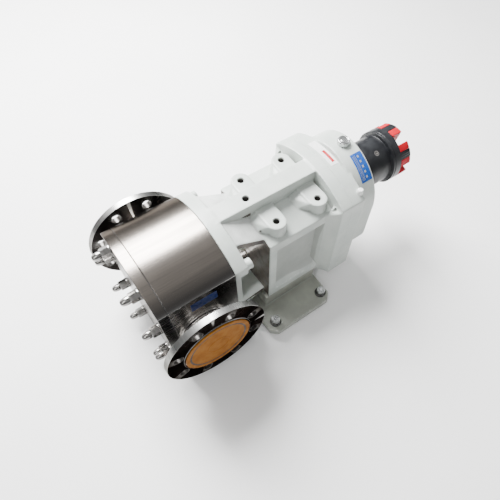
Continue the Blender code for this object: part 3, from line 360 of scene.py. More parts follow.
def soften(loop, radius, closed=True, steps=3):
    """Round each corner of an outline."""
    count = len(loop)
    smooth = []
    for index, point in enumerate(loop):
        if not closed and index in (0, count - 1):
            smooth.append(point)
            continue
        here = Vector(point)
        before = Vector(loop[index - 1]) - here
        after = Vector(loop[(index + 1) % count]) - here
        reach = min(radius, before.length * 0.45, after.length * 0.45)
        start = here + before.normalized() * reach
        end = here + after.normalized() * reach
        for step in range(steps + 1):
            t = step / steps
            smooth.append(tuple(start * (1 - t) ** 2 + here * 2 * t * (1 - t) + end * t ** 2))
    return smooth


def arched(half_width, side, rise, steps=36):
    """A rectangle with a shallow arc on its top and its bottom."""
    radius = (half_width ** 2 + rise ** 2) / (2 * rise)
    spread = math.degrees(math.asin(half_width / radius))
    top = arc((0, side + rise - radius), radius, -spread, spread, steps)
    return top + [(-across, -up) for across, up in top]


def two_circles(radius, steps=60):
    half = 180.0 - math.degrees(math.acos(SHAFT / radius))
    top = arc((0, SHAFT), radius, -half, half, steps)
    bottom = [(-across, -up) for across, up in top]
    return top[:-1] + bottom[:-1]


def dome_outline(radius, bottom, corner):
    low = bottom + corner
    points = arc((0, SHAFT), radius, -90, 90, 64)
    points += arc((radius - corner, low), corner, 90, 180, 8)
    points += arc((-radius + corner, low), corner, 180, 270, 8)
    return points


def sector(inner, outer, centre, width, steps=6):
    """A block between two radii; angles in degrees from +up towards +across."""
    outside = arc((0, 0), outer, centre - width / 2, centre + width / 2, steps)
    inside = arc((0, 0), inner, centre + width / 2, centre - width / 2, steps)
    return outside + inside


# ------------------------------------------------------------------ solids

def spread(axis, a, b, along):
    """The point with (a, b) across the axis and along on it."""
    if axis == 'X':
        return (along, a, b)
    if axis == 'Y':
        return (a, along, b)
    return (a, b, along)


def prism(shape, loop, start, end, axis='Y', at=(0.0, 0.0)):
    """Add a closed outline, extruded along an axis from start to end."""
    rings = []
    for along in (start, end):
        rings.append([shape.verts.new(spread(axis, a + at[0], b + at[1], along)) for a, b in loop])
    shape.faces.new(rings[0])
    shape.faces.new(list(reversed(rings[1])))
    count = len(loop)
    for index in range(count):
        after = (index + 1) % count
        shape.faces.new((rings[0][index], rings[1][index], rings[1][after], rings[0][after]))


def lathe(shape, profile, axis='Y', at=(0.0, 0.0), steps=72):
    """Add a profile of (radius, along), turned about an axis through the place at."""
    rings = []
    for radius, along in profile:
        if radius < 0.0001:
            rings.append([shape.verts.new(spread(axis, at[0], at[1], along))])
            continue
        ring = []
        for step in range(steps):
            angle = 2 * math.pi * step / steps
            ring.append(shape.verts.new(spread(
                axis, at[0] + radius * math.sin(angle), at[1] + radius * math.cos(angle), along)))
        rings.append(ring)
    pairs = list(zip(rings, rings[1:]))
    if len(rings[0]) > 1:
        pairs.append((rings[-1], rings[0]))
    for low, high in pairs:
        for step in range(steps):
            after = (step + 1) % steps
            corners = [low[step % len(low)], low[after % len(low)],
                       high[after % len(high)], high[step % len(high)]]
            corners = list(dict.fromkeys(corners))
            if len(corners) > 2:
                shape.faces.new(corners)


def wedge(shape, points):
    """Add the convex solid around a few points."""
    verts = [shape.verts.new(point) for point in points]
    made = bmesh.ops.convex_hull(shape, input=verts)
    spare = [item for item in made["geom_interior"] if isinstance(item, bmesh.types.BMVert)]
    bmesh.ops.delete(shape, geom=spare, context='VERTS')


def block(shape, x, y, z):
    wedge(shape, [(a, b, c) for a in x for b in y for c in z])


def solid(name, draw):
    """An object from a function that draws into a bmesh, put into the row frame."""
    shape = bmesh.new()
    draw(shape)
    bmesh.ops.transform(shape, matrix=TO_ROW, verts=shape.verts)
    bmesh.ops.recalc_face_normals(shape, faces=shape.faces)
    mesh = bpy.data.meshes.new(name)
    shape.to_mesh(mesh)
    shape.free()
    obj = bpy.data.objects.new(name, mesh)
    bpy.context.scene.collection.objects.link(obj)
    return obj


def settle(obj):
    """Turn the modifiers of an object into its mesh."""
    bpy.context.view_layer.update()
    evaluated = obj.evaluated_get(bpy.context.evaluated_depsgraph_get())
    mesh = bpy.data.meshes.new_from_object(evaluated)
    obj.modifiers.clear()
    obj.data = mesh
    return obj


def combine(obj, draw, operation='DIFFERENCE'):
    """Cut the drawn shapes out of an object, or join them to it."""
    tool = solid(obj.name + "_tool", draw)
    modifier = obj.modifiers.new("combine", 'BOOLEAN')
    modifier.operation = operation
    modifier.solver = 'EXACT'
    modifier.object = tool
    settle(obj)
    bpy.data.objects.remove(tool, do_unlink=True)
    return obj


def bevel(obj, width, segments=3, angle=30.0):
    modifier = obj.modifiers.new("bevel", 'BEVEL')
    modifier.width = width * MM
    modifier.segments = segments
    modifier.limit_method = 'ANGLE'
    modifier.angle_limit = math.radians(angle)
    modifier.use_clamp_overlap = True
    return settle(obj)


def cast(obj, passes):
    """Join overlapping solids into one skin with soft corners, as a casting has."""
    remesh = obj.modifiers.new("skin", 'REMESH')
    remesh.mode = 'VOXEL'
    remesh.voxel_size = CAST_VOXEL * MM
    smooth = obj.modifiers.new("soft", 'SMOOTH')
    smooth.factor = 0.5
    smooth.iterations = passes
    thin = obj.modifiers.new("thin", 'DECIMATE')
    thin.ratio = CAST_KEEP
    return settle(obj)


def finish(obj, material, body, nodes=(), angle=32.0):
    """Shade and colour a piece, tie it to its body, and hide the nodes it stands for."""
    obj.data.materials.clear()
    obj.data.materials.append(MATERIALS[material])
    obj.data.shade_smooth()
    obj.data.set_sharp_from_angle(angle=math.radians(angle))
    normals = obj.modifiers.new("flat_faces_stay_flat", 'WEIGHTED_NORMAL')
    normals.keep_sharp = True
    normals.weight = 100
    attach(obj, body)
    if nodes:
        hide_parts(*nodes)
    return obj


def recolor(obj, material, test):
    """Give a second material to the faces whose centre and normal pass the test."""
    obj.data.materials.append(MATERIALS[material])
    back = TO_ROW.inverted()
    for face in obj.data.polygons:
        if test(back @ face.center, face.normal):
            face.material_index = len(obj.data.materials) - 1


# ------------------------------------------------------------------ pump end

def make_case():
    outline = arched(CASE_HALF_WIDTH, CASE_SIDE, CASE_RISE, CASE_STEPS)
    case = solid("case_block", lambda s: prism(s, outline, *CASE_Y))
    bevel(case, EDGE_BREAK)
    combine(case, lambda s: prism(s, two_circles(CHAMBER_RADIUS), CASE_Y[0] - PAST, CHAMBER_REAR_Y))
    passage = [(0, -SIDE_CUT_X), (PORT_BORE, -SIDE_CUT_X), (PORT_BORE, SIDE_CUT_X), (0, SIDE_CUT_X)]
    combine(case, lambda s: lathe(s, passage, 'X'))

    def bores(s):
        for level in (SHAFT, -SHAFT):
            prism(s, circle(SEAL_BORE, (0, level)), *SEAL_BORE_Y)
        for place in STUDS:
            prism(s, circle(STUD_HOLE, place, 20), CASE_Y[0] - PAST, STUD_HOLE_END_Y)
    combine(case, bores)
    finish(case, "case", "root", ["rotor_case"])


def make_front_cover():
    outline = arched(CASE_HALF_WIDTH, CASE_SIDE, CASE_RISE, CASE_STEPS)
    cover = solid("cover_block", lambda s: prism(s, outline, *COVER_Y))
    bevel(cover, EDGE_BREAK)

    def holes(s):
        for place in STUDS:
            prism(s, circle(STUD_HOLE, place, 20), *COVER_CUT_Y)
    combine(cover, holes)
    combine(cover, lambda s: prism(s, two_circles(GROOVE_OUTER), GROOVE_FLOOR_Y, COVER_CUT_Y[1]))
    island_root = GROOVE_FLOOR_Y - 0.4
    combine(cover, lambda s: prism(s, two_circles(GROOVE_INNER), island_root, COVER_Y[1]), 'UNION')
    finish(cover, "case", "root", ["front_cover"])


def make_dome_nut(name, place):
    """A long hexagon nut with a turned neck and a cone-shaped dome, on a flat washer."""
    seat = COVER_Y[0] - GAP
    nut = solid(name, lambda s: prism(s, circle(NUT_HEXAGON, place, 6), seat - 2.0, seat - 17.0))

    corners = NUT_HEXAGON + 0.3
    chamfer = [(0, seat - 1.0), (corners - 1.0, seat - 1.0), (corners, seat - 2.6),
               (corners, seat - 15.2), (corners - 1.9, seat - 18.0), (0, seat - 18.0)]
    combine(nut, lambda s: lathe(s, chamfer, 'Y', place, 40), 'INTERSECT')

    dome = [(0, seat - 12.0), (NUT_DOME - 0.3, seat - 12.0), (NUT_DOME - 0.3, seat - 18.6),
            (NUT_DOME, seat - 19.2), (NUT_DOME, seat - 22.0), (NUT_DOME - 0.6, seat - 26.5),
            (NUT_DOME - 1.8, seat - 30.2), (NUT_DOME - 3.8, seat - 32.3), (0, seat - 32.9)]
    combine(nut, lambda s: lathe(s, dome, 'Y', place, 40), 'UNION')

    washer = soften([(6.2, seat), (NUT_WASHER, seat), (NUT_WASHER, seat - 2.1), (6.2, seat - 2.1)], 0.4)
    combine(nut, lambda s: lathe(s, washer, 'Y', place, 40), 'UNION')
    combine(nut, lambda s: prism(s, circle(NUT_BORE, place, 24), seat + PAST, seat - 13.5))
    return nut


def make_dome_nuts():
    for index, place in enumerate(STUDS, start=1):
        nut = make_dome_nut(f"dome_nut_{index}", place)
        finish(nut, "chrome", "root", [f"cover_dome_nut_{index}"])


def sideways(side, profile):
    """A profile along +X as it stands, or turned round to run along -X."""
    return [(radius, side * along) for radius, along in profile]


def make_port(side, name):
    """The drilled flange with a low lip round the cap and, inside it, the neck."""
    profile = [(PORT_BORE, FLANGE_FACE), (LIP[0], FLANGE_FACE), (LIP[0], LIP_FACE), (LIP[1], LIP_FACE),
               (LIP[2], FLANGE_FACE), (FLANGE_RADIUS, FLANGE_FACE), (FLANGE_RADIUS, FLANGE_BACK),
               (50, FLANGE_BACK), (50, FLANGE_BACK - 2.5), (PORT_BORE, FLANGE_BACK - 2.5)]
    turned = soften(sideways(side, profile), 0.7)
    flange = solid(name + "_flange_turned", lambda s: lathe(s, turned, 'X', steps=128))
    angles = [2 * math.pi * (index + 0.5) / FLANGE_HOLES for index in range(FLANGE_HOLES)]
    places = [(BOLT_CIRCLE * math.cos(angle), BOLT_CIRCLE * math.sin(angle)) for angle in angles]

    def holes(s):
        rim = BOLT_HOLE + 2.2
        bore = [(0, FLANGE_FACE + 2.0), (rim, FLANGE_FACE + 2.0), (BOLT_HOLE, FLANGE_FACE - 0.4),
                (BOLT_HOLE, FLANGE_BACK + 0.4), (rim, FLANGE_BACK - 2.0), (0, FLANGE_BACK - 2.0)]
        for at in places:
            lathe(s, sideways(side, bore), 'X', at, 40)
    combine(flange, holes)
    finish(flange, "flange", "root", [name + "_flange"])
    recolor(flange, "bore", lambda at, normal: abs(normal.x) < 0.9 and any(
        math.dist((at.y, at.z), place) < BOLT_HOLE + 1.5 for place in places))

    start = CASE_HALF_WIDTH + GAP
    end = FLANGE_BACK - 2.8
    tube = [(PORT_BORE, start), (NECK_RADIUS + 3.0, start), (NECK_RADIUS + 3.0, start + 3.7),
            (NECK_RADIUS + 1.0, start + 5.3), (NECK_RADIUS, start + 6.7), (NECK_RADIUS, end - 3.7),
            (NECK_RADIUS + 1.5, end), (PORT_BORE, end)]
    outline = soften(sideways(side, tube), 0.8)
    neck = solid(name + "_neck", lambda s: lathe(s, outline, 'X', steps=96))
    finish(neck, "neck", "root")


def make_cap(side, name):
    """A moulded protector: rolled rim, dark ring, ribbed disc and a short plug."""
    inner, outer = CAP_GROOVE
    top = CAP_FACE + 0.9
    floor = CAP_FACE - 0.8
    plug = PORT_BORE - 1.0
    plug_end = CAP_SEAT - 11.9
    profile = [
        (0, CAP_FACE), (20, CAP_FACE), (20.6, CAP_FACE + 0.5), (22.4, CAP_FACE + 0.5), (23, CAP_FACE),
        (inner, CAP_FACE), (inner + 1.0, floor), (outer - 1.0, floor), (outer, CAP_FACE + 0.5), (60, top),
        (CAP_RADIUS - 1.1, top), (CAP_RADIUS, CAP_FACE + 0.2), (CAP_RADIUS, CAP_SEAT),
        (plug, CAP_SEAT), (plug, plug_end), (plug - 2.5, plug_end), (plug - 2.5, CAP_SEAT), (0, CAP_SEAT),
    ]
    moulded = soften(sideways(side, profile), 0.3, False)
    cap = solid(name + "_cap_moulded", lambda s: lathe(s, moulded, 'X', steps=96))
    finish(cap, "amber", "root", [name + "_cap"])
    low, high = floor + 0.05, CAP_FACE + 0.35
    ring = [(inner - 0.3, low), (outer - 0.1, low), (outer - 0.1, high), (inner - 0.3, high)]
    rounded = soften(sideways(side, ring), 0.25)
    relief = solid(name + "_cap_ring", lambda s: lathe(s, rounded, 'X', steps=96))
    finish(relief, "amber_dark", "root")


def make_case_bolts():
    seat = PLATE_Y[1] + GAP
    top = seat + 12.0
    head = [(0, top), (9.9, top), (9.9, seat), (6.0, seat), (6.0, PLATE_Y[0] + PAST), (0, PLATE_Y[0] + PAST)]
    rounded = soften(head, 0.9, False)
    for index, place in enumerate(CASE_BOLTS, start=1):
        bolt = solid(f"case_screw_{index}", lambda s: lathe(s, rounded, 'Y', place, 40))
        combine(bolt, lambda s: prism(s, circle(4.6, place, 6), top - 6.3, top + 0.7))
        finish(bolt, "paint", "root", [f"case_bolt_{index}"])


# ------------------------------------------------------------------ castings

def draw_plate(s):
    """The front plate, as broad as the rotor case only at its four corners."""
    corner = PLATE_CORNER_Z
    across = PLATE_NOTCH
    top = [(a, b) for a, b in arched(CASE_HALF_WIDTH, CASE_SIDE, CASE_RISE) if b > corner]
    upper = [(top[0][0], corner)] + top + [(top[-1][0], corner), (across, corner), (across, 60.0),
                                           (-across, 60.0), (-across, corner)]
    prism(s, upper, *PLATE_Y)
    prism(s, [(a, -b) for a, b in upper], *PLATE_Y)
    block(s, (-across, across), PLATE_Y, (-70.0, 70.0))


def draw_body(s):
    """The body with its sloping shoulders, the flares at its rear and the gear case."""
    shoulders = [(BODY_HALF_WIDTH, BODY_BOTTOM), (BODY_HALF_WIDTH, SHOULDER_EDGE),
                 (RIDGE_HALF_WIDTH, SHOULDER_TOP)]
    shoulders += [(-across, up) for across, up in reversed(shoulders)]
    prism(s, shoulders, BODY_FRONT_Y, GEAR_CASE_FRONT_Y + 6.0)
    prism(s, arched(GEAR_CASE_HALF_WIDTH, GEAR_CASE_SIDE, GEAR_CASE_RISE), GEAR_CASE_FRONT_Y, SEAM_Y + 6.0)
    front, rear = FLARE_Y
    inside = BODY_HALF_WIDTH - 3.0
    for side in (1, -1):
        points = [(x, front, z) for x in (inside, BODY_HALF_WIDTH) for z in (BODY_BOTTOM, SHOULDER_EDGE)]
        points += [(x, rear, z) for x in (inside, GEAR_CASE_HALF_WIDTH - 0.1) for z in (-104, 102)]
        wedge(s, [(side * x, y, z) for x, y, z in points])


def draw_neck(s):
    """The roof, the floor and the ridge that span from the plate to the body."""
    roof = []
    for side in (1, -1):
        for y, eaves, ridge, under in ROOF_SECTIONS:
            roof += [(side * NECK_HALF_WIDTH, y, eaves), (side * RIDGE_HALF_WIDTH, y, ridge),
                     (side * NECK_HALF_WIDTH, y, under)]
    wedge(s, roof)
    wedge(s, [(side * NECK_HALF_WIDTH, y, z + rise) for side in (1, -1)
              for y, z in FLOOR_SECTIONS for rise in (0, FLOOR_THICKNESS)])
    ridge_y = (RIDGE_FRONT_Y, GEAR_CASE_FRONT_Y + 6.0)
    block(s, (-RIDGE_HALF_WIDTH, RIDGE_HALF_WIDTH), ridge_y, (92, RIDGE_TOP))


def draw_boss(s, x, y):
    """A flat pad from the ridge to a round nose, with a ramp at its front."""
    side = 1 if x > 0 else -1
    loop = [(0, -BOSS_RADIUS), (0, BOSS_RADIUS)] + arc((BOSS_X, 0.0), BOSS_RADIUS, 0, 180, 24)
    prism(s, [(side * a, y + b) for a, b in loop], 73.0, BOSS_TOP, 'Z')
    back = y - 18.0
    shoulder = (61, y - 17.9)
    ramp = [(18, y - 42, 104), (18, back, BOSS_TOP - 1.0), (*shoulder, BOSS_TOP - 1.5),
            (44, y - 38, 97), (18, back, 90), (*shoulder, 90)]
    wedge(s, [(side * a, b, c) for a, b, c in ramp])


def housing_solids(s):
    draw_plate(s)
    draw_body(s)
    draw_neck(s)
    for x, y in BOSSES:
        draw_boss(s, x, y)


def tapped_hole(s, x, y, face, depth, chamfer):
    """A blind hole below a face, with a chamfer that reaches as far above the face as below."""
    profile = [(0, face - depth), (TAPPED_HOLE, face - depth + 2.0), (TAPPED_HOLE, face - chamfer),
               (TAPPED_RIM, face + chamfer), (0, face + chamfer)]
    lathe(s, profile, 'Z', (x, y), 32)


def make_housing():
    housing = solid("gearbox_casting", housing_solids)
    cast(housing, CAST_PASSES)
    for side in (1, -1):
        mouth = [(side * (BODY_HALF_WIDTH + PAST), y, z) for y in (174.5, 286.5) for z in (-78.5, 66.5)]
        floor = [(side * (BODY_HALF_WIDTH - 14.0), y, z) for y in (180, 278) for z in (-60, 60)]
        combine(housing, lambda s: wedge(s, mouth + floor))

    def front(s):
        for level in (SHAFT, -SHAFT):
            prism(s, circle(32.0, (0, level)), PLATE_Y[0] - PAST, PLATE_Y[1] + 1.5)
            prism(s, circle(BEARING_BORE, (0, level)), 166.2, 325.6)
        for place in CASE_BOLTS:
            prism(s, circle(6.4, place, 24), PLATE_Y[0] - PAST, PLATE_Y[1] + 1.5)
        for x in (87.0, -87.0):
            prism(s, circle(3.4, (x, 98.0), 20), GEAR_CASE_FRONT_Y - 10.0, GEAR_CASE_FRONT_Y + 10.0)
        for x, y in BOSSES:
            tapped_hole(s, x, y, BOSS_TOP, 18.0, 1.5)
        tapped_hole(s, 0, RIDGE_HOLE_Y, RIDGE_TOP, 18.4, 1.6)
    combine(housing, front)

    def rear(s):
        for level in (SHAFT, -SHAFT):
            prism(s, circle(26.0, (0, level)), 150.0, 167.0)
        prism(s, arched(*GEAR_SPACE, GEAR_CASE_RISE), 325.0, SEAM_Y + 8.0)
    combine(housing, rear)
    combine(housing, lambda s: block(s, (-120, 120), (SEAM_Y, SEAM_Y + 15.0), (-150, 150)))
    finish(housing, "paint", "root", ["gearbox_housing"], 40.0)
    # Painted shade and stain: the faces inside the window between the plate and the body take the dark
    # stained colour.
    recolor(housing, "chamber", lambda at, normal: (
        PLATE_Y[1] + 0.5 < at.y < BODY_FRONT_Y + 2.0 and abs(at.x) < BODY_HALF_WIDTH - 2.0
        and normal.z < 0.3 and -96.0 < at.z < 118.0))
    recolor(housing, "rough_cast", lambda at, normal: (
        PLATE_Y[1] + 1.0 < at.y < BODY_FRONT_Y - 1.0 and 20.0 < abs(at.x) < NECK_HALF_WIDTH + 2.0
        and normal.z > 0.4 and at.z > 80.0))


def make_threads():
    """Bare threads that line the tapped holes of the bosses and of the ridge."""
    def draw(s):
        for x, y, top in [(x, y, 112.4) for x, y in BOSSES] + [(0, RIDGE_HOLE_Y, 134.2)]:
            ring = [(5.95, top), (5.3, top - 0.8)]
            for turn in range(6):
                ring += [(5.8, top - 1.6 - 2.2 * turn), (5.1, top - 2.7 - 2.2 * turn)]
            lathe(s, ring + [(5.95, top - 14.8)], 'Z', (x, y), 24)
            plug = [(0, top - 14.0), (5.0, top - 14.0), (5.0, top - 14.7), (0, top - 14.7)]
            lathe(s, plug, 'Z', (x, y), 24)
    threads = solid("tapped_threads", draw)
    finish(threads, "thread", "root")


def make_gear_cover():
    def draw(s):
        prism(s, arched(GEAR_CASE_HALF_WIDTH, GEAR_CASE_SIDE, GEAR_CASE_RISE), SEAM_Y - 6.0, 362.0)
        for inset, start, end in ((0.0, 356.0, 404.0), (1.2, 403.0, 406.0), (3.4, 405.0, 408.0)):
            prism(s, dome_outline(DOME_RADIUS - inset, DOME_BOTTOM + inset, DOME_CORNER), start, end)
    cover = solid("gear_cover_casting", draw)
    cast(cover, CAST_PASSES)
    combine(cover, lambda s: prism(s, arched(*GEAR_SPACE, GEAR_CASE_RISE), 320.0, 354.0))
    combine(cover, lambda s: block(s, (-120, 120), (SEAM_Y - 15.0, SEAM_Y + GAP), (-150, 150)))

    def deep(s):
        prism(s, dome_outline(85.0, -48.0, 12.0), 353.0, 398.0)
        prism(s, circle(27.0, (0, SHAFT)), 397.0, 409.0)
    combine(cover, deep)
    finish(cover, "paint", "root", ["gear_cover"], 40.0)


def make_foot():
    def draw(s):
        wide, front, rear = FOOT_HALF_WIDTH, *FOOT_Y
        half = [(wide - FOOT_CORNER, front), (wide, front + FOOT_CORNER), (wide, rear - FOOT_CORNER),
                (wide - FOOT_CORNER, rear)]
        plate = half + [(-x, y) for x, y in reversed(half)]
        prism(s, plate, FOOT_BOTTOM, FOOT_TOP, 'Z')
        block(s, (-PEDESTAL_HALF_WIDTH, PEDESTAL_HALF_WIDTH), PEDESTAL_Y, (FOOT_TOP - 2.0, BODY_BOTTOM - GAP))
    foot = solid("foot_casting", draw)
    cast(foot, FOOT_PASSES)

    def holes(s):
        low, seat, high = -153.5, -132.4, -130.0
        bore = [(0, low), (6.4, low), (6.4, seat), (13.4, seat), (13.4, high), (0, high)]
        for place in FOOT_BOLTS:
            lathe(s, bore, 'Z', place, 40)
    combine(foot, holes)
    finish(foot, "foot_paint", "root", ["mounting_foot"], 40.0)


def make_foot_bolts():
    """Socket screws, each on a broad washer."""
    washer = soften([(6.3, -131.9), (12.5, -131.9), (12.5, -129.4), (6.3, -129.4)], 0.4)
    screw_profile = soften([(0, -117.5), (8.3, -117.5), (9.3, -118.6), (9.3, -129.2), (6.0, -129.2),
                            (6.0, -151.6), (0, -151.6)], 0.4, False)
    for index, place in enumerate(FOOT_BOLTS, start=1):
        screw = solid(f"foot_screw_{index}", lambda s: lathe(s, screw_profile, 'Z', place, 40))
        combine(screw, lambda s: prism(s, circle(5.6, place, 6), -124.5, -117.0, 'Z'))
        finish(screw, "zinc", "root", [f"foot_bolt_{index}"])
        disc = solid(f"foot_washer_{index}", lambda s: lathe(s, washer, 'Z', place, 48))
        finish(disc, "washer", "root")


def make_oil_fittings():
    profile = soften([(0, 155.9), (5.0, 155.9), (5.6, 155.1), (8.6, 155.1), (9.4, 156.2), (10.6, 156.2),
                      (12, 154.6), (12, 147.4), (8, 147.4), (8, 137.5), (0, 137.5)], 0.5, False)
    filler = solid("filler_cap", lambda s: lathe(s, profile, 'Z', (0, FILLER_Y), 64))

    def knurl(s):
        for index in range(KNURLS):
            angle = 2 * math.pi * index / KNURLS
            at = (12.5 * math.cos(angle), FILLER_Y + 12.5 * math.sin(angle))
            prism(s, circle(0.9, at, 8), 148.2, 157.0, 'Z')
    combine(filler, knurl)
    finish(filler, "zinc", "root", ["oil_filler_cap"])

    drain = soften([(0, 369.3), (8.2, 369.3), (9, 368.4), (9, 362.3), (6.7, 362.3), (6.7, 355.5), (0, 355.5)],
                   0.3, False)
    plug = solid("drain_plug", lambda s: lathe(s, drain, 'Y', (0, DRAIN_Z), 48))
    combine(plug, lambda s: prism(s, circle(4.6, (0, DRAIN_Z), 6), 364.0, 370.0))
    finish(plug, "zinc", "root", ["oil_drain_plug"])

    knob = soften([(0, 123.5), (4.6, 123.5), (5.6, 122.0), (5.6, 110.0), (0, 110.0)], 0.9, False)
    vent = solid("vent_plug", lambda s: lathe(s, knob, 'Z', VENT_PLACE, 32))
    finish(vent, "white", "root")


# ------------------------------------------------------------------ shafts and coupling

def make_shafts():
    for name, level, end in (("drive", SHAFT, 506.0), ("driven", -SHAFT, 353.5)):
        profile = [(0, -47), (12, -47), (12, -33.7), (18, -33.7), (18, 51.3), (20, 51.3), (20, 184.8),
                   (23.5, 184.8), (23.5, 288.2), (20, 288.2), (20, 328.7), (19, 328.7), (19, min(end, 354.0))]
        if end > 400.0:
            profile += [(17.5, 354.0), (17.5, end)]
        profile += [(0, end)]
        outline = soften(profile, 0.5, False, 2)
        turned = solid(name + "_shaft_turned", lambda s: lathe(s, outline, 'Y', (0, level), 64))
        finish(turned, "shaft", name, [name + "_shaft"])
        ring = [(20.3, 65.3), (27.5, 65.3), (27.5, 71), (26.4, 71.6), (26.4, 73), (27.5, 73.6), (27.5, 88),
                (26, 92), (20.3, 92)]
        seal = solid(name + "_seal_turned", lambda s: lathe(s, soften(ring, 0.3), 'Y', (0, level), 64))
        finish(seal, "shaft", name, [name + "_seal_ring"])


def make_coupling():
    front, rear = HUB_Y
    bore = 17.8
    groove = RING_RADIUS - 1.1
    profile = [(bore, rear), (RING_RADIUS, rear), (RING_RADIUS, 504.5), (groove, 504), (groove, 502.4),
               (RING_RADIUS, 501.9), (RING_RADIUS, 498), (HUB_RADIUS, 496.6), (HUB_RADIUS, front),
               (bore, front)]
    outline = soften(profile, 0.8)
    hub = solid("coupling_hub_turned", lambda s: lathe(s, outline, 'Y', (0, SHAFT), 112))

    def claws(s):
        for angle in CLAW_ANGLES:
            loop = soften(sector(27.0, RING_RADIUS, angle, 17.0), 1.0)
            prism(s, loop, rear - 6.0, CLAW_END_Y, 'Y', (0, SHAFT))
    combine(hub, claws, 'UNION')
    bevel(hub, EDGE_BREAK, 3, 40.0)

    def screw_seats(s):
        for turn in HUB_SCREW_TURNS:
            radial_hole(s, turn, HUB_SCREW_Y, 6.0, 44.0, 52.0)
    combine(hub, screw_seats)
    finish(hub, "black", "drive", ["coupling_hub"])

    for index, turn in enumerate(HUB_SCREW_TURNS, start=1):
        screw = solid(f"hub_screw_{index}", lambda s: radial_hole(s, turn, HUB_SCREW_Y, 5.6, 44.2, 48.2))
        combine(screw, lambda s: radial_hole(s, turn, HUB_SCREW_Y, 2.9, 46.0, 49.0, 6))
        finish(screw, "chrome", "drive")

    legs = []
    for angle in CLAW_ANGLES:
        for centre in (angle - LEG_OFFSET, angle + LEG_OFFSET):
            first, last = centre - LEG_HALF_ANGLE, centre + LEG_HALF_ANGLE
            legs += arc((0, 0), 26.5, first, first, 1)[:1]
            legs += arc((0, 0), RING_RADIUS + 0.4, first, last, 6)
            legs += arc((0, 0), 26.5, last, last, 1)[:1]
    rounded = soften(legs, 1.6)
    spider = solid("spider_moulded", lambda s: prism(
        s, rounded, rear + GAP, CLAW_END_Y - GAP, 'Y', (0, SHAFT)))
    combine(spider, lambda s: prism(s, circle(12.0, (0, SHAFT)), rear - PAST, CLAW_END_Y + PAST))
    bevel(spider, 1.1, 3, 50.0)
    finish(spider, "red", "drive", ["coupling_spider"])


def radial_hole(s, turn, y, radius, low, high, steps=32):
    """A small cylinder that stands out from the drive shaft's axis, turn degrees from +Z to +X."""
    angle = math.radians(turn)
    out = Vector((math.sin(angle), 0.0, math.cos(angle)))
    across = Vector((math.cos(angle), 0.0, -math.sin(angle)))
    rings = []
    for reach in (low, high):
        ring = []
        for step in range(steps):
            part = 2 * math.pi * step / steps
            point = Vector((0, y, SHAFT)) + out * reach
            point += across * radius * math.cos(part) + Vector((0, 1, 0)) * radius * math.sin(part)
            ring.append(s.verts.new(point))
        rings.append(ring)
    s.faces.new(rings[0])
    s.faces.new(list(reversed(rings[1])))
    for step in range(steps):
        after = (step + 1) % steps
        s.faces.new((rings[0][step], rings[1][step], rings[1][after], rings[0][after]))


# ------------------------------------------------------------------ plates and labels

def curved_patch(s, radius, centre, first, last, start, end, lift, thick, steps=16):
    """A thin patch that lies on a round surface, from one angle to another, start to end along Y."""
    outer = arc(centre, radius + lift + thick, first, last, steps)
    inner = arc(centre, radius + lift, last, first, steps)
    prism(s, outer + inner, start, end)


def make_plates():
    top_radius = (GEAR_CASE_HALF_WIDTH ** 2 + GEAR_CASE_RISE ** 2) / (2 * GEAR_CASE_RISE)
    top_centre = (0, GEAR_CASE_SIDE + GEAR_CASE_RISE - top_radius)
    paper = solid("arrow_label", lambda s: curved_patch(
        s, top_radius, top_centre, -14.5, 8.0, 337.0, 356.0, 0.0, 0.35))
    finish(paper, "label", "root")
    stroke = solid("arrow_stroke", lambda s: curved_patch(
        s, top_radius, top_centre, -4.0, 6.0, 344.0, 350.0, 0.35, 0.12))
    finish(stroke, "label_red", "root")

    dome = (DOME_RADIUS, (0, SHAFT))
    plate = solid("nameplate", lambda s: curved_patch(s, *dome, 17.0, 51.0, 377.0, 402.5, 0.05, 0.6))
    bevel(plate, 0.2, 2)
    finish(plate, "plate_blue", "root")

    def fields(s):
        for index in range(5):
            first = 20.5 + 6.0 * index
            curved_patch(s, *dome, first, first + 2.6, 389.5, 393.5, 0.6, 0.15, 4)
        for line in range(3):
            start = 380.0 + 2.6 * line
            curved_patch(s, *dome, 19.5, 48.5, start, start + 0.7, 0.6, 0.12, 12)
    marks = solid("nameplate_fields", fields)
    finish(marks, "plate_silver", "root")

    across = (CASE_HALF_WIDTH + 0.05, CASE_HALF_WIDTH + 0.3)
    sticker = solid("case_sticker", lambda s: block(s, across, (-14.0, 36.0), (67.0, 89.0)))
    bevel(sticker, 0.1, 2)
    finish(sticker, "sticker", "root")


# ------------------------------------------------------------------ inner parts keep their CAD shape

def colour_inner_parts():
    finishes = {"stud": "chrome", "rotor_nut": "chrome", "rotor": "hidden_steel", "gear": "hidden_steel",
                "race": "hidden_steel", "o_ring": "rubber", "lip_seal": "rubber", "seal_seat": "carbon"}
    for name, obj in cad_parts.items():
        for word, finish_name in finishes.items():
            if word in name:
                obj.data.materials.clear()
                obj.data.materials.append(MATERIALS[finish_name])
                break


# ------------------------------------------------------------------ stage, light and camera

def make_stage():
    m = Material("floor_paper", Roughness=0.85)
    cloud = m.remap(m.noise(3.0, 2.0), 0.3, 0.7, 0.0, 1.0)
    floor = m.done(m.mix(cloud, (0.93, 0.93, 0.925), (0.90, 0.90, 0.895)))
    shape = bmesh.new()
    bmesh.ops.create_grid(shape, x_segments=4, y_segments=4, size=6.0)
    bmesh.ops.translate(shape, verts=shape.verts, vec=(0.0, 0.0, -0.0005))
    mesh = bpy.data.meshes.new("floor")
    shape.to_mesh(mesh)
    shape.free()
    mesh.materials.append(floor)
    obj = bpy.data.objects.new("floor", mesh)
    bpy.context.scene.collection.objects.link(obj)


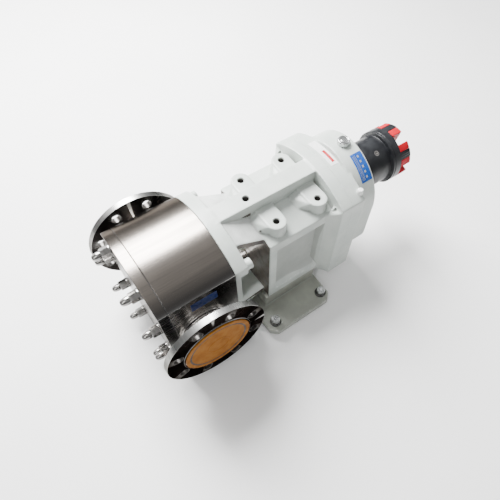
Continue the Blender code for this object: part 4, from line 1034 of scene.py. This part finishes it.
# Each light's name, place, target, size, power and colour, in metres and watts
MIDDLE = (0.0, 0.0, 0.15)
WHITE = (1.0, 1.0, 1.0)
LIGHTS = (
    ("overhead", (-1.15, -0.1, 1.55), MIDDLE, (0.9, 1.2), 205.0, WHITE),
    ("window", (-2.0, -0.9, 1.1), MIDDLE, (1.2, 1.0), 12.0, (1.0, 0.985, 0.96)),
    ("strip", (0.55, -1.1, 1.5), (0.0, -0.2, 0.15), (0.16, 1.2), 7.0, WHITE),
    ("rim", (0.1, 1.9, 1.0), MIDDLE, (1.6, 0.7), 9.0, WHITE),
)
SKY_STRENGTH = 0.64


def area_light(name, place, target, size, power, color):
    data = bpy.data.lights.new(name, 'AREA')
    data.shape = 'RECTANGLE'
    data.size, data.size_y = size
    data.energy = power
    data.color = color
    light = bpy.data.objects.new(name, data)
    light.location = place
    light.rotation_mode = 'QUATERNION'
    light.rotation_quaternion = (Vector(target) - Vector(place)).to_track_quat('-Z', 'Y')
    bpy.context.scene.collection.objects.link(light)


def make_light():
    for light in LIGHTS:
        area_light(*light)
    world = bpy.data.worlds.new("studio")
    world.use_nodes = True
    tree = world.node_tree
    place = tree.nodes.new("ShaderNodeTexCoord")
    split = tree.nodes.new("ShaderNodeSeparateXYZ")
    ramp = tree.nodes.new("ShaderNodeValToRGB")
    ramp.color_ramp.elements[0].position = 0.02
    ramp.color_ramp.elements[0].color = (0.30, 0.31, 0.33, 1.0)
    ramp.color_ramp.elements[1].position = 0.75
    ramp.color_ramp.elements[1].color = (1.0, 1.0, 1.0, 1.0)
    tree.links.new(place.outputs["Generated"], split.inputs[0])
    tree.links.new(split.outputs[2], ramp.inputs[0])
    tree.links.new(ramp.outputs[0], tree.nodes["Background"].inputs[0])
    tree.nodes["Background"].inputs[1].default_value = SKY_STRENGTH
    bpy.context.scene.world = world


CAMERA_PLACE = (418.36, -94.99, 712.91)
CAMERA_AXES = ((0.59768, 0.79968, 0.05724), (0.72567, -0.50928, -0.46265), (-0.34090, 0.31813, -0.88467))
FOCAL_LENGTH = 30.454
FRAME_SHIFT = (-0.0786, 0.0909)


def make_camera():
    """The axes of the camera are its right, its down and its forward direction."""
    data = bpy.data.cameras.new("camera")
    data.sensor_width = 36.0
    data.lens = FOCAL_LENGTH
    data.shift_x, data.shift_y = FRAME_SHIFT
    data.clip_start = 0.01
    data.clip_end = 50.0
    right, down, forward = [Vector(axis) for axis in CAMERA_AXES]
    turn = Matrix((right, -down, -forward)).transposed()
    camera = bpy.data.objects.new("camera", data)
    camera.matrix_world = Matrix.Translation(TO_ROW @ Vector(CAMERA_PLACE)) @ turn.to_4x4()
    bpy.context.scene.collection.objects.link(camera)
    bpy.context.scene.camera = camera


make_case()
make_front_cover()
make_dome_nuts()
for side, name in ((1, "outlet"), (-1, "inlet")):
    make_port(side, name)
    make_cap(side, name)
make_case_bolts()
make_housing()
make_threads()
make_gear_cover()
make_foot()
make_foot_bolts()
make_oil_fittings()
make_shafts()
make_coupling()
make_plates()
colour_inner_parts()
make_stage()
make_light()
make_camera()
